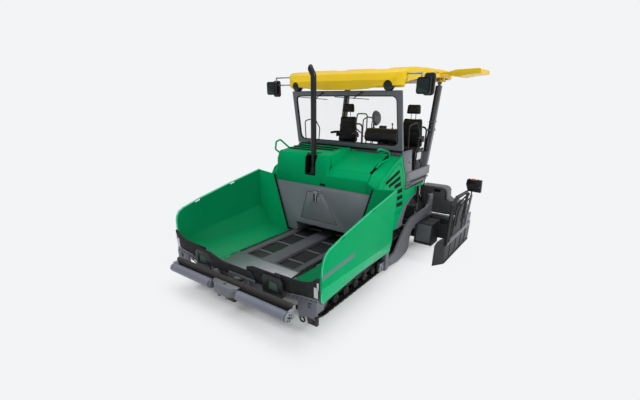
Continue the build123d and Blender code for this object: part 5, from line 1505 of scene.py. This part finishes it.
sun("side_light", (1.0, -0.05, 0.62), 1.5, 22.0)
sun("top_light", (-0.15, 0.12, 1.0), 1.35, 50.0)
print("lights:", len(bpy.data.lights))

# %% Floor
FLOOR_HALF, FLOOR_Z = 60.0, -0.001
bm = bmesh.new()
bmesh.ops.create_grid(bm, x_segments=1, y_segments=1, size=FLOOR_HALF)
bmesh.ops.translate(bm, verts=bm.verts, vec=(0, 0, FLOOR_Z))
floor_mesh = bpy.data.meshes.new("studio_floor")
bm.to_mesh(floor_mesh)
bm.free()
floor = bpy.data.objects.new("studio_floor", floor_mesh)
bpy.context.scene.collection.objects.link(floor)
ground = Finish("studio_floor")
ground.set(Base_Color=tone(231, 231, 230.5), Roughness=0.9, Specular_IOR_Level=0.0)
# how far a place lies outside the machine's own oblong, from 0 to 1
place = ground.place()
across = ground.add("ShaderNodeSeparateXYZ", sockets={0: place}, out=0).math("ABSOLUTE") - 1.20
along = (ground.add("ShaderNodeSeparateXYZ", sockets={0: place}, out=1) + 0.40).math("ABSOLUTE") - 2.25
away = (across.math("MAXIMUM", along).above(0.0, 0.75) ** 0.6) * 0.86 + 0.10
glow = ground.tree.nodes.new("ShaderNodeEmission")
glow.inputs["Color"].default_value = BACKDROP
ray = ground.tree.nodes.new("ShaderNodeLightPath")
share = ground.tree.nodes.new("ShaderNodeMath")
share.operation = "MULTIPLY"
ground.tree.links.new(ray.outputs["Is Camera Ray"], share.inputs[0])
ground.tree.links.new(away.socket, share.inputs[1])
mixer = ground.tree.nodes.new("ShaderNodeMixShader")
ground.tree.links.new(share.outputs[0], mixer.inputs[0])
ground.tree.links.new(ground.shader.outputs[0], mixer.inputs[1])
ground.tree.links.new(glow.outputs[0], mixer.inputs[2])
ground.tree.links.new(mixer.outputs[0], ground.tree.nodes["Material Output"].inputs["Surface"])
floor_mesh.materials.append(ground.material)
print("floor laid")

# %% Camera
AZIMUTH, TILT, ROLL = math.radians(35.685), math.radians(23.344), math.radians(0.401)
CAMERA_PLACE = (4.0517, -5.9515, 3.2410)
back = Vector((math.sin(AZIMUTH) * math.cos(TILT), -math.cos(AZIMUTH) * math.cos(TILT), math.sin(TILT)))
right = (-back).cross(Vector((0, 0, 1))).normalized()
up = right.cross(-back)
right, up = (right * math.cos(ROLL) + up * math.sin(ROLL),
             up * math.cos(ROLL) - right * math.sin(ROLL))
lens = bpy.data.cameras.new("camera")
lens.sensor_width = 36.0
lens.lens = 19.8039375
lens.shift_x = -0.0027
lens.shift_y = 0.0799
lens.clip_end = 200.0
camera = bpy.data.objects.new("camera", lens)
pose = Matrix((right, up, back)).transposed().to_4x4()
pose.translation = Vector(CAMERA_PLACE)
camera.matrix_world = pose
bpy.context.scene.collection.objects.link(camera)
bpy.context.scene.camera = camera
bpy.context.scene.view_settings.view_transform = "Standard"
print("camera placed")
